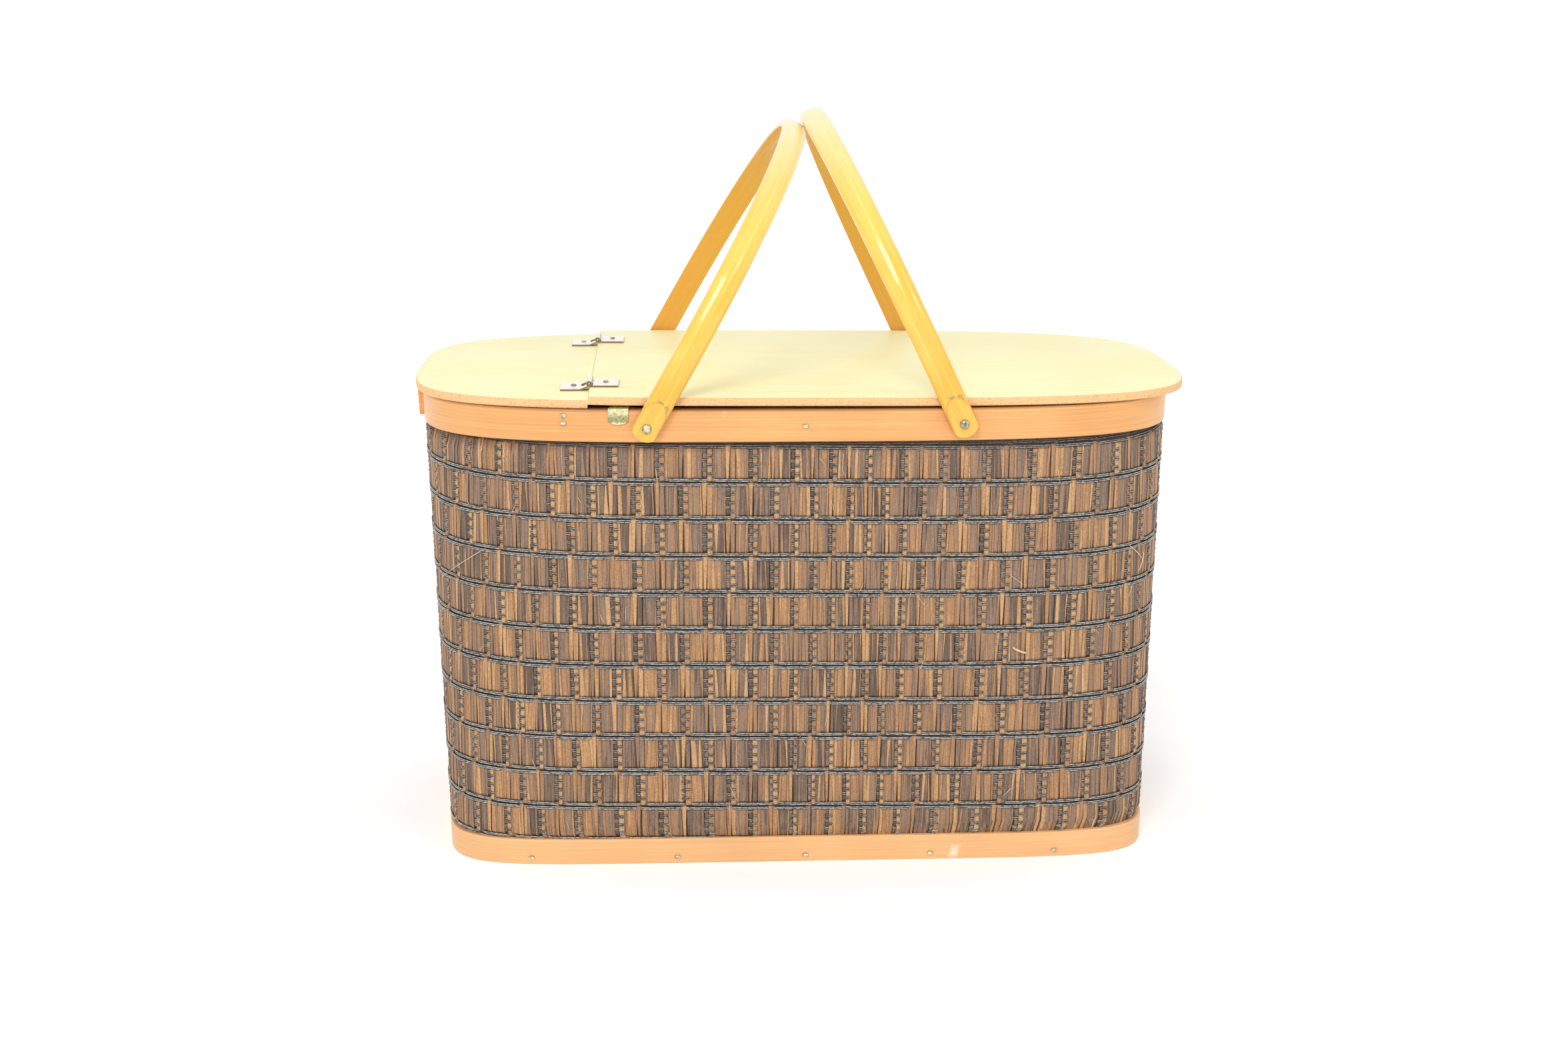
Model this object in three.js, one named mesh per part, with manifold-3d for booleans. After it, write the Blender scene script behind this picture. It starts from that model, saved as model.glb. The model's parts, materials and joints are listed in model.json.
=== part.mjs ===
// Lidded picnic basket: a woven wood wall held between bentwood bands, a two-part hardboard lid
// and two bentwood carrying handles riveted to the rim.
// Millimetres, +Z up. The origin is the centre of the base's underside, the basket's length runs
// along X and its front faces -Y.

import * as THREE from 'three';
import { mergeVertices } from 'three/addons/utils/BufferGeometryUtils.js';
import Module from 'manifold-3d';

// Basket body: outer size at the floor and at the rim, and how square the outline is there.
const BASE_LENGTH = 431;
const BASE_WIDTH = 248;
const BASE_SQUARENESS = 7.5;
const RIM_LENGTH = 456;
const RIM_WIDTH = 277;
const RIM_SQUARENESS = 3.7;
const RIM_TOP = 280;

// Bands, wall and base board.
const BAND_THICKNESS = 3;
const BAND_EDGE = 0.9;
const RIM_BAND_HEIGHT = 19;
const INNER_BAND_HEIGHT = 17;
const BASE_BAND_HEIGHT = 16;
const WALL_THICKNESS = 3;
const WALL_BULGE = 2;
const WALL_BULGE_RISE = 4;
const CORD_TOP = 238;
const CORD_COUNT = 10;
const CORD_PITCH = 22.3;
const CORD_RISE = 1.2;
const CORD_LEDGE = 1.8;
const CORD_SLOPE = -0.011;
const CORD_LIFT = 5;
const CORD_LIFT_POWER = 8;
const BOARD_THICKNESS = 6;
const LAP_START_ANGLE = 162;
const LAP_END_ANGLE = 190;
const LAP_RAMP_ANGLE = 18;
const JOINT_ANGLE = 70;
const BUTT_GAP = 0.6;

// Two-part lid.
const LID_LENGTH = 470;
const LID_WIDTH = 273.6;
const LID_SHIFT = 3;
const LID_THICKNESS = 4.8;
const LID_SQUARENESS = 3.7;
const LID_TILT = 0.35;
const SEAM_X = -124.5;
const SEAM_GAP = 1;

// Bar under the fixed lid part, with its nails and screws.
const BAR_X = -138.5;
const BAR_WIDTH = 18;
const BAR_HEIGHT = 12;
const BAR_END_GAP = 0.5;
const BAR_NAIL_DROPS = [3.6, 8.2];
const BAR_NAIL_GRIP = 12;
const SCREW_Y = 70;
const SCREW_BITE = 3;

// Strap hinges: pressed leaves rolled round a pin above the seam.
const HINGE_Y = 88;
const HINGE_WIDTH = 25;
const LEAF_LENGTH = 17;
const LEAF_SHEET = 0.8;
const LEAF_RAMP = 3.2;
const KNUCKLE_MIDDLE = 8.2;
const HINGE_PIN_RADIUS = 0.65;
const CURL_OPEN_ANGLE = 50;
const LEAF_RIVET_X = 9.5;
const LEAF_RIVET_RADIUS = 0.9;
const LEAF_RIVET_HEAD_RADIUS = 1.9;
const LEAF_RIVET_HEAD_HEIGHT = 0.9;

// Bentwood handles: straight legs that turn into half an ellipse, measured on the flat inner face.
const PIVOT_X = 90.8;
const LEFT_PIVOT_DROP = 9.6;
const RIGHT_PIVOT_DROP = 8;
const LEFT_LEAN = 29.5;
const HANDLE_REACH = 182;
const LEG_STRAIGHT = 42;
const LEG_END = 8;
const LEG_END_RADIUS = 10;
const LEG_STANDOFF = 2;
const RAIL_WIDTH = 15.2;
const RAIL_SIDE = 3;
const RAIL_THICKNESS = 7.5;
const SHAVE_THICKNESS = 5.2;
const SHAVE_ANGLE = 8;
const SHAVE_LENGTH = 15;

// Handle rivets with their inner burrs.
const RIVET_RADIUS = 1.6;
const RIVET_HEAD_RADIUS = 2.7;
const RIVET_HEAD_HEIGHT = 1.7;
const BURR_RADIUS = 4;
const BURR_THICKNESS = 0.8;
const CLINCH_RADIUS = 2.4;
const CLINCH_TOP_RADIUS = 1.9;
const CLINCH_HEIGHT = 1;

// Nails and screws.
const NAIL_RADIUS = 0.8;
const NAIL_HEAD_RADIUS = 1.6;
const NAIL_HEAD_HEIGHT = 0.6;
const NAIL_POINT = 1.6;
const BASE_NAIL_Z = 4.2;
const BASE_NAIL_SHARES = [-0.378, -0.174, 0.005, 0.181, 0.357];
const BASE_NAIL_GRIP = 11;
const RIM_NAIL_DROP = 9.6;

// Metal clip folded over the rim.
const CLIP_X = -107;
const CLIP_WIDTH = 11.6;
const CLIP_SHEET = 0.5;
const CLIP_FACE = 8.4;
const CLIP_TAIL = 6;
const CLIP_LIP_RADIUS = 9;

// Fits and fineness of the facets.
const GAP = 0.3;
const QUARTER_STEPS = 14;
const ARCH_STEPS = 32;
const DOME_STEPS = 6;
const HEAD_STEPS = 2;
const ROUND_SIDES = 12;
const NAIL_SIDES = 8;
const MERGE_DISTANCE = 1e-4;
const HALVINGS = 40;
const QUARTER_TURN = 90;
const WIDEST_LEAN = 60;

// Heights and insets that follow from the sizes above.
const RIM_BOTTOM = RIM_TOP - RIM_BAND_HEIGHT;
const WALL_INSET = BAND_THICKNESS + GAP;
const INNER_BAND_INSET = WALL_INSET + WALL_THICKNESS + GAP;
const RIM_INSIDE = INNER_BAND_INSET + BAND_THICKNESS;
const BOARD_INSET = WALL_INSET + WALL_THICKNESS + GAP;
const FIXED_LID_BOTTOM = RIM_TOP + GAP;
const FIXED_LID_TOP = FIXED_LID_BOTTOM + LID_THICKNESS;
const BAR_TOP = FIXED_LID_BOTTOM - GAP;
const KNUCKLE_INNER = HINGE_PIN_RADIUS + GAP;
const KNUCKLE_OUTER = KNUCKLE_INNER + LEAF_SHEET;
const LID_DROP = KNUCKLE_OUTER + GAP;
const LID_TILT_RISE = (RIM_LENGTH / 2 - SEAM_X) * Math.tan(THREE.MathUtils.degToRad(LID_TILT));
const HINGE_Z = RIM_TOP + GAP + LID_THICKNESS + LID_DROP + LID_TILT_RISE;
const RIVET_BORE = RIVET_RADIUS + GAP;
const NAIL_BORE = NAIL_RADIUS + GAP;
const BASE_NAIL_X = BASE_NAIL_SHARES.map((share) => share * BASE_LENGTH);
const FAR = 2 * RIM_LENGTH;

const FINISHES = {
  hardboard: { color: 0xf3e6b4, roughness: 0.55, metalness: 0 },
  bentwood: { color: 0xe0a566, roughness: 0.5, metalness: 0 },
  lacquered: { color: 0xe2a83c, roughness: 0.22, metalness: 0 },
  weave: { color: 0x7c6250, roughness: 0.7, metalness: 0 },
  plainWood: { color: 0xcfa572, roughness: 0.7, metalness: 0 },
  nickel: { color: 0xc9c6bb, roughness: 0.3, metalness: 1 },
  brass: { color: 0xc8a860, roughness: 0.35, metalness: 1 },
};

const wasm = await Module();
wasm.setup();

// Solids

function toSolid(geometry) {
  const bare = geometry.clone();
  bare.deleteAttribute('normal');
  bare.deleteAttribute('uv');
  const merged = mergeVertices(bare, MERGE_DISTANCE);
  const corners = Array.from(merged.index.array);
  const triangles = [];
  for (let i = 0; i < corners.length; i += 3) {
    const [a, b, c] = corners.slice(i, i + 3);
    if (a !== b && b !== c && c !== a) triangles.push(a, b, c);
  }
  const vertProperties = Float32Array.from(merged.attributes.position.array);
  const triVerts = Uint32Array.from(triangles);
  return new wasm.Manifold(new wasm.Mesh({ numProp: 3, vertProperties, triVerts }));
}

function toGeometry(solid) {
  const mesh = solid.getMesh();
  const geometry = new THREE.BufferGeometry();
  geometry.setAttribute('position', new THREE.BufferAttribute(mesh.vertProperties, 3));
  geometry.setIndex(new THREE.BufferAttribute(mesh.triVerts, 1));
  geometry.computeVertexNormals();
  return geometry;
}

function join(...geometries) {
  const [first, ...others] = geometries.map(toSolid);
  return toGeometry(others.reduce((solid, other) => solid.add(other), first));
}

function cut(geometry, cutters) {
  const whole = toSolid(geometry);
  return toGeometry(cutters.map(toSolid).reduce((solid, cutter) => solid.subtract(cutter), whole));
}

function keepInside(geometry, mould) {
  return toGeometry(toSolid(geometry).intersect(toSolid(mould)));
}

// Skin over a row of sections with equal point counts. Open rows get a flat cap at both ends.
function loft(sections, closed) {
  const count = sections[0].length;
  const positions = sections.flat().flatMap((point) => [point.x, point.y, point.z]);
  const triangles = [];
  const spans = closed ? sections.length : sections.length - 1;
  for (let i = 0; i < spans; i += 1) {
    const next = (i + 1) % sections.length;
    for (let j = 0; j < count; j += 1) {
      const k = (j + 1) % count;
      const corners = [i * count + j, i * count + k, next * count + k, next * count + j];
      triangles.push(corners[0], corners[1], corners[2], corners[0], corners[2], corners[3]);
    }
  }
  if (!closed) {
    const last = (sections.length - 1) * count;
    for (let j = 1; j < count - 1; j += 1) {
      triangles.push(0, j + 1, j, last, last + j, last + j + 1);
    }
  }
  const geometry = new THREE.BufferGeometry();
  geometry.setAttribute('position', new THREE.Float32BufferAttribute(positions, 3));
  geometry.setIndex(signedVolume(sections.flat(), triangles) < 0 ? triangles.reverse() : triangles);
  geometry.computeVertexNormals();
  return geometry;
}

function signedVolume(points, triangles) {
  let volume = 0;
  for (let i = 0; i < triangles.length; i += 3) {
    const [a, b, c] = triangles.slice(i, i + 3).map((corner) => points[corner]);
    volume += a.dot(b.clone().cross(c)) / 6;
  }
  return volume;
}

// Flat board or sheet: an outline in the XY plane raised from z = bottom to z = bottom + height.
function slab(shape, height, bottom) {
  const options = { depth: height, bevelEnabled: false, curveSegments: ROUND_SIDES };
  return new THREE.ExtrudeGeometry(shape, options).translate(0, 0, bottom);
}

// Outline in the XZ plane drawn out along Y, centred on y = middle.
function prismAlongY(points, width, middle) {
  const shape = new THREE.Shape(points.map(([x, z]) => new THREE.Vector2(x, z)));
  const geometry = new THREE.ExtrudeGeometry(shape, { depth: width, bevelEnabled: false });
  return geometry.rotateX(Math.PI / 2).translate(0, middle + width / 2, 0);
}

// XZ outline of a strip that runs from z = top down to an arc whose lowest point is z = -depth.
function roundedEnd(width, radius, depth, top) {
  const half = width / 2;
  const sag = Math.asin(half / radius);
  const down = -Math.PI / 2;
  const arc = new THREE.Path().absarc(0, radius - depth, radius, down - sag, down + sag);
  return [...arc.getPoints(NAIL_SIDES).map(({ x, y }) => [x, y]), [half, top], [-half, top]];
}

function rod(radius, length, sides) {
  return new THREE.CylinderGeometry(radius, radius, length, sides);
}

function boreAlongY(x, z, radius, sides) {
  return rod(radius, FAR, sides).translate(x, 0, z);
}

function boreAlongX(z, radius, sides) {
  return rod(radius, FAR, sides).rotateZ(Math.PI / 2).translate(0, 0, z);
}

function boreAlongZ(x, y, radius, bottom, height) {
  return rod(radius, height, NAIL_SIDES).rotateX(Math.PI / 2).translate(x, y, bottom + height / 2);
}

// Turned piece along +Y from [radius, y] pairs that start and end on the axis.
function turned(profile, sides) {
  return new THREE.LatheGeometry(profile.map(([radius, y]) => new THREE.Vector2(radius, y)), sides);
}

// Rounded head below y = 0 for a turned pin.
function domePoints(radius, height) {
  return Array.from({ length: HEAD_STEPS }, (_, i) => {
    const turn = (i / HEAD_STEPS) * (Math.PI / 2);
    return [radius * Math.sin(turn), -height * Math.cos(turn)];
  });
}

// Largest value below a limit for which a test that starts out true still holds.
function largestWhile(test, limit) {
  let good = 0;
  let bad = limit;
  for (let i = 0; i < HALVINGS; i += 1) {
    const middle = (good + bad) / 2;
    if (test(middle)) good = middle;
    else bad = middle;
  }
  return good;
}

// Basket outline

function superellipse(halfLength, halfWidth, squareness, degrees) {
  const turn = THREE.MathUtils.degToRad(degrees);
  const across = Math.abs(Math.cos(turn) / halfLength) ** squareness;
  const along = Math.abs(Math.sin(turn) / halfWidth) ** squareness;
  const radius = (across + along) ** (-1 / squareness);
  return new THREE.Vector2(radius * Math.cos(turn), radius * Math.sin(turn));
}

function outlineAt(z) {
  const rise = z / RIM_TOP;
  return {
    halfLength: THREE.MathUtils.lerp(BASE_LENGTH, RIM_LENGTH, rise) / 2,
    halfWidth: THREE.MathUtils.lerp(BASE_WIDTH, RIM_WIDTH, rise) / 2,
    squareness: 1 / THREE.MathUtils.lerp(1 / BASE_SQUARENESS, 1 / RIM_SQUARENESS, rise),
  };
}

// Direction in which the outline faces at a polar angle of its first quarter.
function facing(z, degrees) {
  const { halfLength, halfWidth, squareness } = outlineAt(z);
  const turn = THREE.MathUtils.degToRad(degrees);
  const across = (Math.cos(turn) / halfLength) ** (squareness - 1) / halfLength;
  const along = (Math.sin(turn) / halfWidth) ** (squareness - 1) / halfWidth;
  return THREE.MathUtils.radToDeg(Math.atan2(along, across));
}

// Polar angles of the corners of all outlines, closest together where base and rim turn most.
function outlineAngles() {
  const bend = (degrees) => (facing(0, degrees) + facing(RIM_TOP, degrees)) / 2;
  const progress = (degrees) => (degrees + bend(degrees)) / 2;
  const quarter = Array.from({ length: QUARTER_STEPS }, (_, i) => {
    const target = (i / QUARTER_STEPS) * QUARTER_TURN;
    return largestWhile((degrees) => progress(degrees) < target, QUARTER_TURN);
  });
  const mirrored = quarter.slice(1).reverse().map((degrees) => 2 * QUARTER_TURN - degrees);
  const half = [...quarter, QUARTER_TURN, ...mirrored];
  return [...half, ...half.map((degrees) => degrees + 2 * QUARTER_TURN)];
}

function bodyPoint(z, inset, degrees) {
  const { halfLength, halfWidth, squareness } = outlineAt(z);
  const point = superellipse(halfLength - inset, halfWidth - inset, squareness, degrees);
  return new THREE.Vector3(point.x, point.y, z);
}

// Half width of the body at a place along its length.
function bodySide(x, z, inset) {
  const { halfLength, halfWidth, squareness } = outlineAt(z);
  const share = 1 - Math.abs(x / (halfLength - inset)) ** squareness;
  return (halfWidth - inset) * share ** (1 / squareness);
}

// Angle between the X axis and the front of the rim at a place along its length.
function rimSlope(x) {
  const step = 1;
  const change = bodySide(x + step, RIM_TOP, 0) - bodySide(x - step, RIM_TOP, 0);
  return Math.atan2(-change, 2 * step);
}

// Strip bent round the body: a [z, inset] section carried from one angle to another. Between its
// ends it has the same corners as the wall, so that their facets lie flat on each other.
function strip(section, startAngle, endAngle, insetAt = () => 0) {
  const turns = [...ANGLES, ...ANGLES.map((degrees) => degrees + 360)];
  const between = turns.filter((degrees) => degrees > startAngle && degrees < endAngle);
  const sections = [startAngle, ...between, endAngle].map((degrees) => {
    return section.map(([z, inset]) => bodyPoint(z, inset + insetAt(degrees), degrees));
  });
  return loft(sections, false);
}

// Bentwood band section with eased outer edges.
function bandSection(bottom, top, inset) {
  return [
    [bottom, inset + BAND_THICKNESS],
    [bottom, inset + BAND_EDGE],
    [bottom + BAND_EDGE, inset],
    [top - BAND_EDGE, inset],
    [top, inset + BAND_EDGE],
    [top, inset + BAND_THICKNESS],
  ];
}

function buttEnd() {
  return JOINT_ANGLE + 360 - THREE.MathUtils.radToDeg(BUTT_GAP / (RIM_WIDTH / 2));
}

// Body pieces

function baseNailBores() {
  const sides = BASE_NAIL_X.map((x) => boreAlongY(x, BASE_NAIL_Z, NAIL_BORE, NAIL_SIDES));
  return [...sides, boreAlongX(BASE_NAIL_Z, NAIL_BORE, NAIL_SIDES)];
}

function barNailHeights() {
  return BAR_NAIL_DROPS.map((drop) => BAR_TOP - drop);
}

function rimBores() {
  const rivets = Object.values(HANDLES).map(({ pivotX, pivotZ }) => {
    return boreAlongY(pivotX, pivotZ, RIVET_BORE, ROUND_SIDES);
  });
  const barNails = barNailHeights().map((z) => boreAlongY(BAR_X, z, NAIL_BORE, NAIL_SIDES));
  return [...rivets, ...barNails, boreAlongY(0, RIM_TOP - RIM_NAIL_DROP, NAIL_BORE, NAIL_SIDES)];
}

function baseBoard() {
  const sections = [0, BOARD_THICKNESS].map((z) => {
    return ANGLES.map((degrees) => bodyPoint(z, BOARD_INSET, degrees));
  });
  const grip = BASE_NAIL_GRIP - BOARD_INSET + GAP;
  const sideBores = BASE_NAIL_X.flatMap((x) => [-1, 1].map((side) => {
    const edge = bodySide(x, BASE_NAIL_Z, BOARD_INSET);
    return rod(NAIL_BORE, 2 * grip, NAIL_SIDES).translate(x, side * edge, BASE_NAIL_Z);
  }));
  const endBores = [-1, 1].map((side) => {
    const edge = bodyPoint(BASE_NAIL_Z, BOARD_INSET, 0).x;
    const bore = rod(NAIL_BORE, 2 * grip, NAIL_SIDES).rotateZ(Math.PI / 2);
    return bore.translate(side * edge, 0, BASE_NAIL_Z);
  });
  return cut(loft(sections, false), [...sideBores, ...endBores]);
}

function baseBand() {
  const section = bandSection(0, BASE_BAND_HEIGHT, 0);
  return cut(strip(section, JOINT_ANGLE, buttEnd()), baseNailBores());
}

// Under each double cord of the weave the wall stands out, then leans back to the next one below.
// The cords fall a little along the basket and rise towards its ends.
function cordLevels(inset, degrees) {
  const heights = Array.from({ length: CORD_COUNT }, (_, i) => CORD_TOP - (CORD_COUNT - 1 - i) * CORD_PITCH);
  return heights.flatMap((height) => {
    const x = bodyPoint(height, inset, degrees).x;
    const level = height + CORD_SLOPE * x + CORD_LIFT * (2 * x / RIM_LENGTH) ** CORD_LIFT_POWER;
    return [[level, inset - CORD_RISE], [level + CORD_LEDGE, inset]];
  });
}

// The wall is drawn in where the bands clamp it and swells out to nearly their face between them.
function wovenWall() {
  const full = WALL_INSET - WALL_BULGE;
  const foot = [
    [GAP, WALL_INSET],
    [BASE_BAND_HEIGHT + GAP, WALL_INSET],
    [BASE_BAND_HEIGHT + WALL_BULGE_RISE, full],
  ];
  const head = [
    [RIM_BOTTOM - WALL_BULGE_RISE, full],
    [RIM_BOTTOM - GAP, WALL_INSET],
    [RIM_TOP - BAND_EDGE, WALL_INSET],
  ];
  const inner = [...foot, ...head].map(([z, inset]) => [z, inset + WALL_THICKNESS]).reverse();
  const sections = ANGLES.map((degrees) => {
    const levels = [...foot, ...cordLevels(full, degrees), ...head, ...inner];
    return levels.map(([z, inset]) => bodyPoint(z, inset, degrees));
  });
  return cut(loft(sections, true), [...baseNailBores(), ...rimBores()]);
}

// The outer rim band is one strip whose last stretch lies over its own start at the left end.
function rimBandOuter() {
  const rampEnd = LAP_START_ANGLE + 360;
  const rampStart = rampEnd - LAP_RAMP_ANGLE;
  const lift = BAND_THICKNESS + GAP;
  const liftAt = (degrees) => -lift * THREE.MathUtils.smoothstep(degrees, rampStart, rampEnd);
  const section = bandSection(RIM_BOTTOM, RIM_TOP, 0);
  return cut(strip(section, LAP_START_ANGLE, LAP_END_ANGLE + 360, liftAt), rimBores());
}

function rimBandInner() {
  const bottom = RIM_TOP - INNER_BAND_HEIGHT;
  const face = [[bottom, INNER_BAND_INSET], [RIM_TOP, INNER_BAND_INSET]];
  const back = [[RIM_TOP, RIM_INSIDE], [bottom, RIM_INSIDE]];
  return cut(strip([...face, ...back], JOINT_ANGLE, buttEnd()), rimBores());
}

// Lid pieces

// Part of the lid outline on one side of the seam: side -1 is the fixed part, +1 the moving one.
function lidShape(side, fastenerHoles) {
  const edge = SEAM_X + (side * SEAM_GAP) / 2;
  const share = 1 - Math.abs((edge - LID_SHIFT) / (LID_LENGTH / 2)) ** LID_SQUARENESS;
  const corner = (LID_WIDTH / 2) * share ** (1 / LID_SQUARENESS);
  const rim = ANGLES.map((degrees) => {
    const turned = side > 0 ? degrees - 180 : degrees;
    const point = superellipse(LID_LENGTH / 2, LID_WIDTH / 2, LID_SQUARENESS, turned);
    return point.add(new THREE.Vector2(LID_SHIFT, 0));
  }).filter((point) => side * (point.x - edge) > GAP);
  const ends = [new THREE.Vector2(edge, side * corner), new THREE.Vector2(edge, -side * corner)];
  const shape = new THREE.Shape([...rim, ...ends]);
  shape.holes = fastenerHoles.map(([x, y]) => {
    return new THREE.Path().absarc(x, y, LEAF_RIVET_RADIUS + GAP, 0, 2 * Math.PI);
  });
  return shape;
}

function hingeFastenerPlaces(side) {
  return [-HINGE_Y, HINGE_Y].map((y) => [SEAM_X + side * LEAF_RIVET_X, y]);
}

function fixedLid() {
  const board = slab(lidShape(-1, hingeFastenerPlaces(-1)), LID_THICKNESS, FIXED_LID_BOTTOM);
  const bores = [-SCREW_Y, SCREW_Y].map((y) => {
    return boreAlongZ(BAR_X, y, NAIL_BORE, FIXED_LID_BOTTOM - GAP, SCREW_BITE + 2 * GAP);
  });
  return cut(board, bores);
}

// The moving part is drawn in its closed place, then taken to the hinge axis, which it turns about.
function lidPanel() {
  const board = slab(lidShape(1, hingeFastenerPlaces(1)), LID_THICKNESS, -LID_DROP - LID_THICKNESS);
  return board.translate(-SEAM_X, 0, 0);
}

function barHalfLength() {
  const farSide = BAR_X - BAR_WIDTH / 2;
  return bodySide(farSide, BAR_TOP - BAR_HEIGHT, RIM_INSIDE) - BAR_END_GAP;
}

function lidCrossbar() {
  const half = barHalfLength();
  const bar = new THREE.BoxGeometry(BAR_WIDTH, 2 * half, BAR_HEIGHT);
  bar.translate(BAR_X, 0, BAR_TOP - BAR_HEIGHT / 2);
  const grip = BAR_NAIL_GRIP + GAP;
  const nailBores = barNailHeights().flatMap((z) => [-1, 1].map((side) => {
    return rod(NAIL_BORE, 2 * grip, NAIL_SIDES).translate(BAR_X, side * half, z);
  }));
  const screwBores = [-SCREW_Y, SCREW_Y].map((y) => {
    return boreAlongZ(BAR_X, y, NAIL_BORE, BAR_TOP - BAR_HEIGHT - GAP, BAR_HEIGHT + 2 * GAP);
  });
  return cut(bar, [...nailBores, ...screwBores]);
}

// Hinges, drawn about their own axis: +X towards the moving lid part.

// Rolled end of a leaf: a ring left open where the sheet's edge stops short of the leaf.
function curl(side) {
  const start = THREE.MathUtils.degToRad(-90);
  const sweep = THREE.MathUtils.degToRad(CURL_OPEN_ANGLE - 360);
  const arc = (radius) => Array.from({ length: ROUND_SIDES + 1 }, (_, i) => {
    const turn = start + (sweep * i) / ROUND_SIDES;
    return [side * radius * Math.cos(turn), radius * Math.sin(turn)];
  });
  return [...arc(KNUCKLE_OUTER), ...arc(KNUCKLE_INNER).reverse()];
}

function leafRivetBore(side) {
  return boreAlongZ(side * LEAF_RIVET_X, 0, LEAF_RIVET_RADIUS + GAP, -FAR / 2, FAR);
}

function movingLeaf() {
  const clear = KNUCKLE_OUTER + GAP;
  const bottom = -KNUCKLE_OUTER;
  const top = bottom + LEAF_SHEET;
  const flat = [[clear, bottom], [LEAF_LENGTH, bottom], [LEAF_LENGTH, top], [clear, top]];
  const plate = prismAlongY(flat, HINGE_WIDTH, 0);
  const tail = [[0, bottom], [2 * clear, bottom], [2 * clear, top], [0, top]];
  const knuckle = [curl(1), tail].map((points) => prismAlongY(points, KNUCKLE_MIDDLE, 0));
  return cut(join(plate, ...knuckle), [leafRivetBore(1)]);
}

function fixedLeaf() {
  const bottom = FIXED_LID_TOP + GAP - HINGE_Z;
  const top = bottom + LEAF_SHEET;
  const foot = -KNUCKLE_OUTER - LEAF_RAMP;
  const flat = [[-LEAF_LENGTH, bottom], [foot, bottom], [foot, top], [-LEAF_LENGTH, top]];
  const plate = prismAlongY(flat, HINGE_WIDTH, 0);
  const rise = -KNUCKLE_OUTER;
  const start = foot - LEAF_SHEET;
  const ramp = [[start, bottom], [foot, bottom], [0, rise], [0, rise + LEAF_SHEET], [start, top]];
  const width = (HINGE_WIDTH - KNUCKLE_MIDDLE) / 2 - GAP;
  const knuckles = [-1, 1].flatMap((side) => {
    return [curl(-1), ramp].map((points) => prismAlongY(points, width, (side * (HINGE_WIDTH - width)) / 2));
  });
  return cut(join(plate, ...knuckles), [leafRivetBore(-1)]);
}

// Fastener through a leaf, pointing down: clinched under the lid panel, or ending in the fixed lid.
function leafRivet(clinched) {
  const through = LID_THICKNESS + LEAF_SHEET + 3 * GAP;
  const radius = LEAF_RIVET_RADIUS;
  const headRadius = LEAF_RIVET_HEAD_RADIUS;
  const end = clinched ? through + LEAF_SHEET : through - 2 * GAP;
  const clinch = [[radius, through], [headRadius, through], [headRadius, end]];
  const tail = clinched ? clinch : [[radius, through - NAIL_POINT]];
  const head = [...domePoints(headRadius, LEAF_RIVET_HEAD_HEIGHT), [headRadius, 0]];
  const profile = [...head, [radius, 0], ...tail, [0, end]];
  return turned(profile, NAIL_SIDES).rotateX(-Math.PI / 2);
}

// Handles, drawn upright about their pivot axis: X across the rail, Z up the leg.

// Rail section as [across, outward] points: flat inner face, short sides, domed outer face.
function railSection() {
  const half = RAIL_WIDTH / 2;
  const dome = Array.from({ length: DOME_STEPS + 1 }, (_, i) => {
    const turn = (i / DOME_STEPS) * Math.PI;
    return [half * Math.cos(turn), RAIL_SIDE + (RAIL_THICKNESS - RAIL_SIDE) * Math.sin(turn)];
  });
  return [[-half, 0], [half, 0], ...dome];
}

function handleInside(z) {
  return bodySide(PIVOT_X, z, 0) + LEG_STANDOFF;
}

function handleArch(inside) {
  const rise = HANDLE_REACH - LEG_STRAIGHT;
  const leg = (side) => ({ y: side * inside, z: -LEG_END, outY: side, outZ: 0 });
  const crown = Array.from({ length: ARCH_STEPS + 1 }, (_, i) => {
    const turn = (i / ARCH_STEPS) * Math.PI;
    const out = new THREE.Vector2(-Math.cos(turn) / inside, Math.sin(turn) / rise).normalize();
    const z = LEG_STRAIGHT + rise * Math.sin(turn);
    return { y: -inside * Math.cos(turn), z, outY: out.x, outZ: out.y };
  });
  return [leg(-1), ...crown, leg(1)];
}

function handle(inside) {
  const section = railSection();
  const rail = loft(handleArch(inside).map(({ y, z, outY, outZ }) => {
    return section.map(([across, out]) => new THREE.Vector3(across, y + out * outY, z + out * outZ));
  }), false);
  const tip = roundedEnd(RAIL_WIDTH, LEG_END_RADIUS, LEG_END, HANDLE_REACH + 2 * RAIL_THICKNESS);
  const bore = boreAlongY(0, 0, RIVET_BORE, ROUND_SIDES);
  return cut(keepInside(rail, prismAlongY(tip, FAR, 0)), [bore, ...legShaves(inside)]);
}

// Wedges that shave the outer face of each leg flat round its rivet.
function legShaves(inside) {
  const slope = Math.tan(THREE.MathUtils.degToRad(SHAVE_ANGLE));
  const faceAt = (z) => inside + SHAVE_THICKNESS + slope * z;
  const bottom = -2 * LEG_END;
  const outer = inside + 2 * RAIL_THICKNESS;
  return [-1, 1].map((side) => {
    const low = [[faceAt(bottom), bottom], [outer, bottom]];
    const high = [[outer, SHAVE_LENGTH], [faceAt(SHAVE_LENGTH), SHAVE_LENGTH]];
    const shape = new THREE.Shape([...low, ...high].map(([y, z]) => new THREE.Vector2(side * y, z)));
    const wedge = new THREE.ExtrudeGeometry(shape, { depth: 2 * RAIL_WIDTH, bevelEnabled: false });
    return wedge.rotateX(Math.PI / 2).rotateZ(Math.PI / 2).translate(-RAIL_WIDTH, 0, 0);
  });
}

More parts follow.
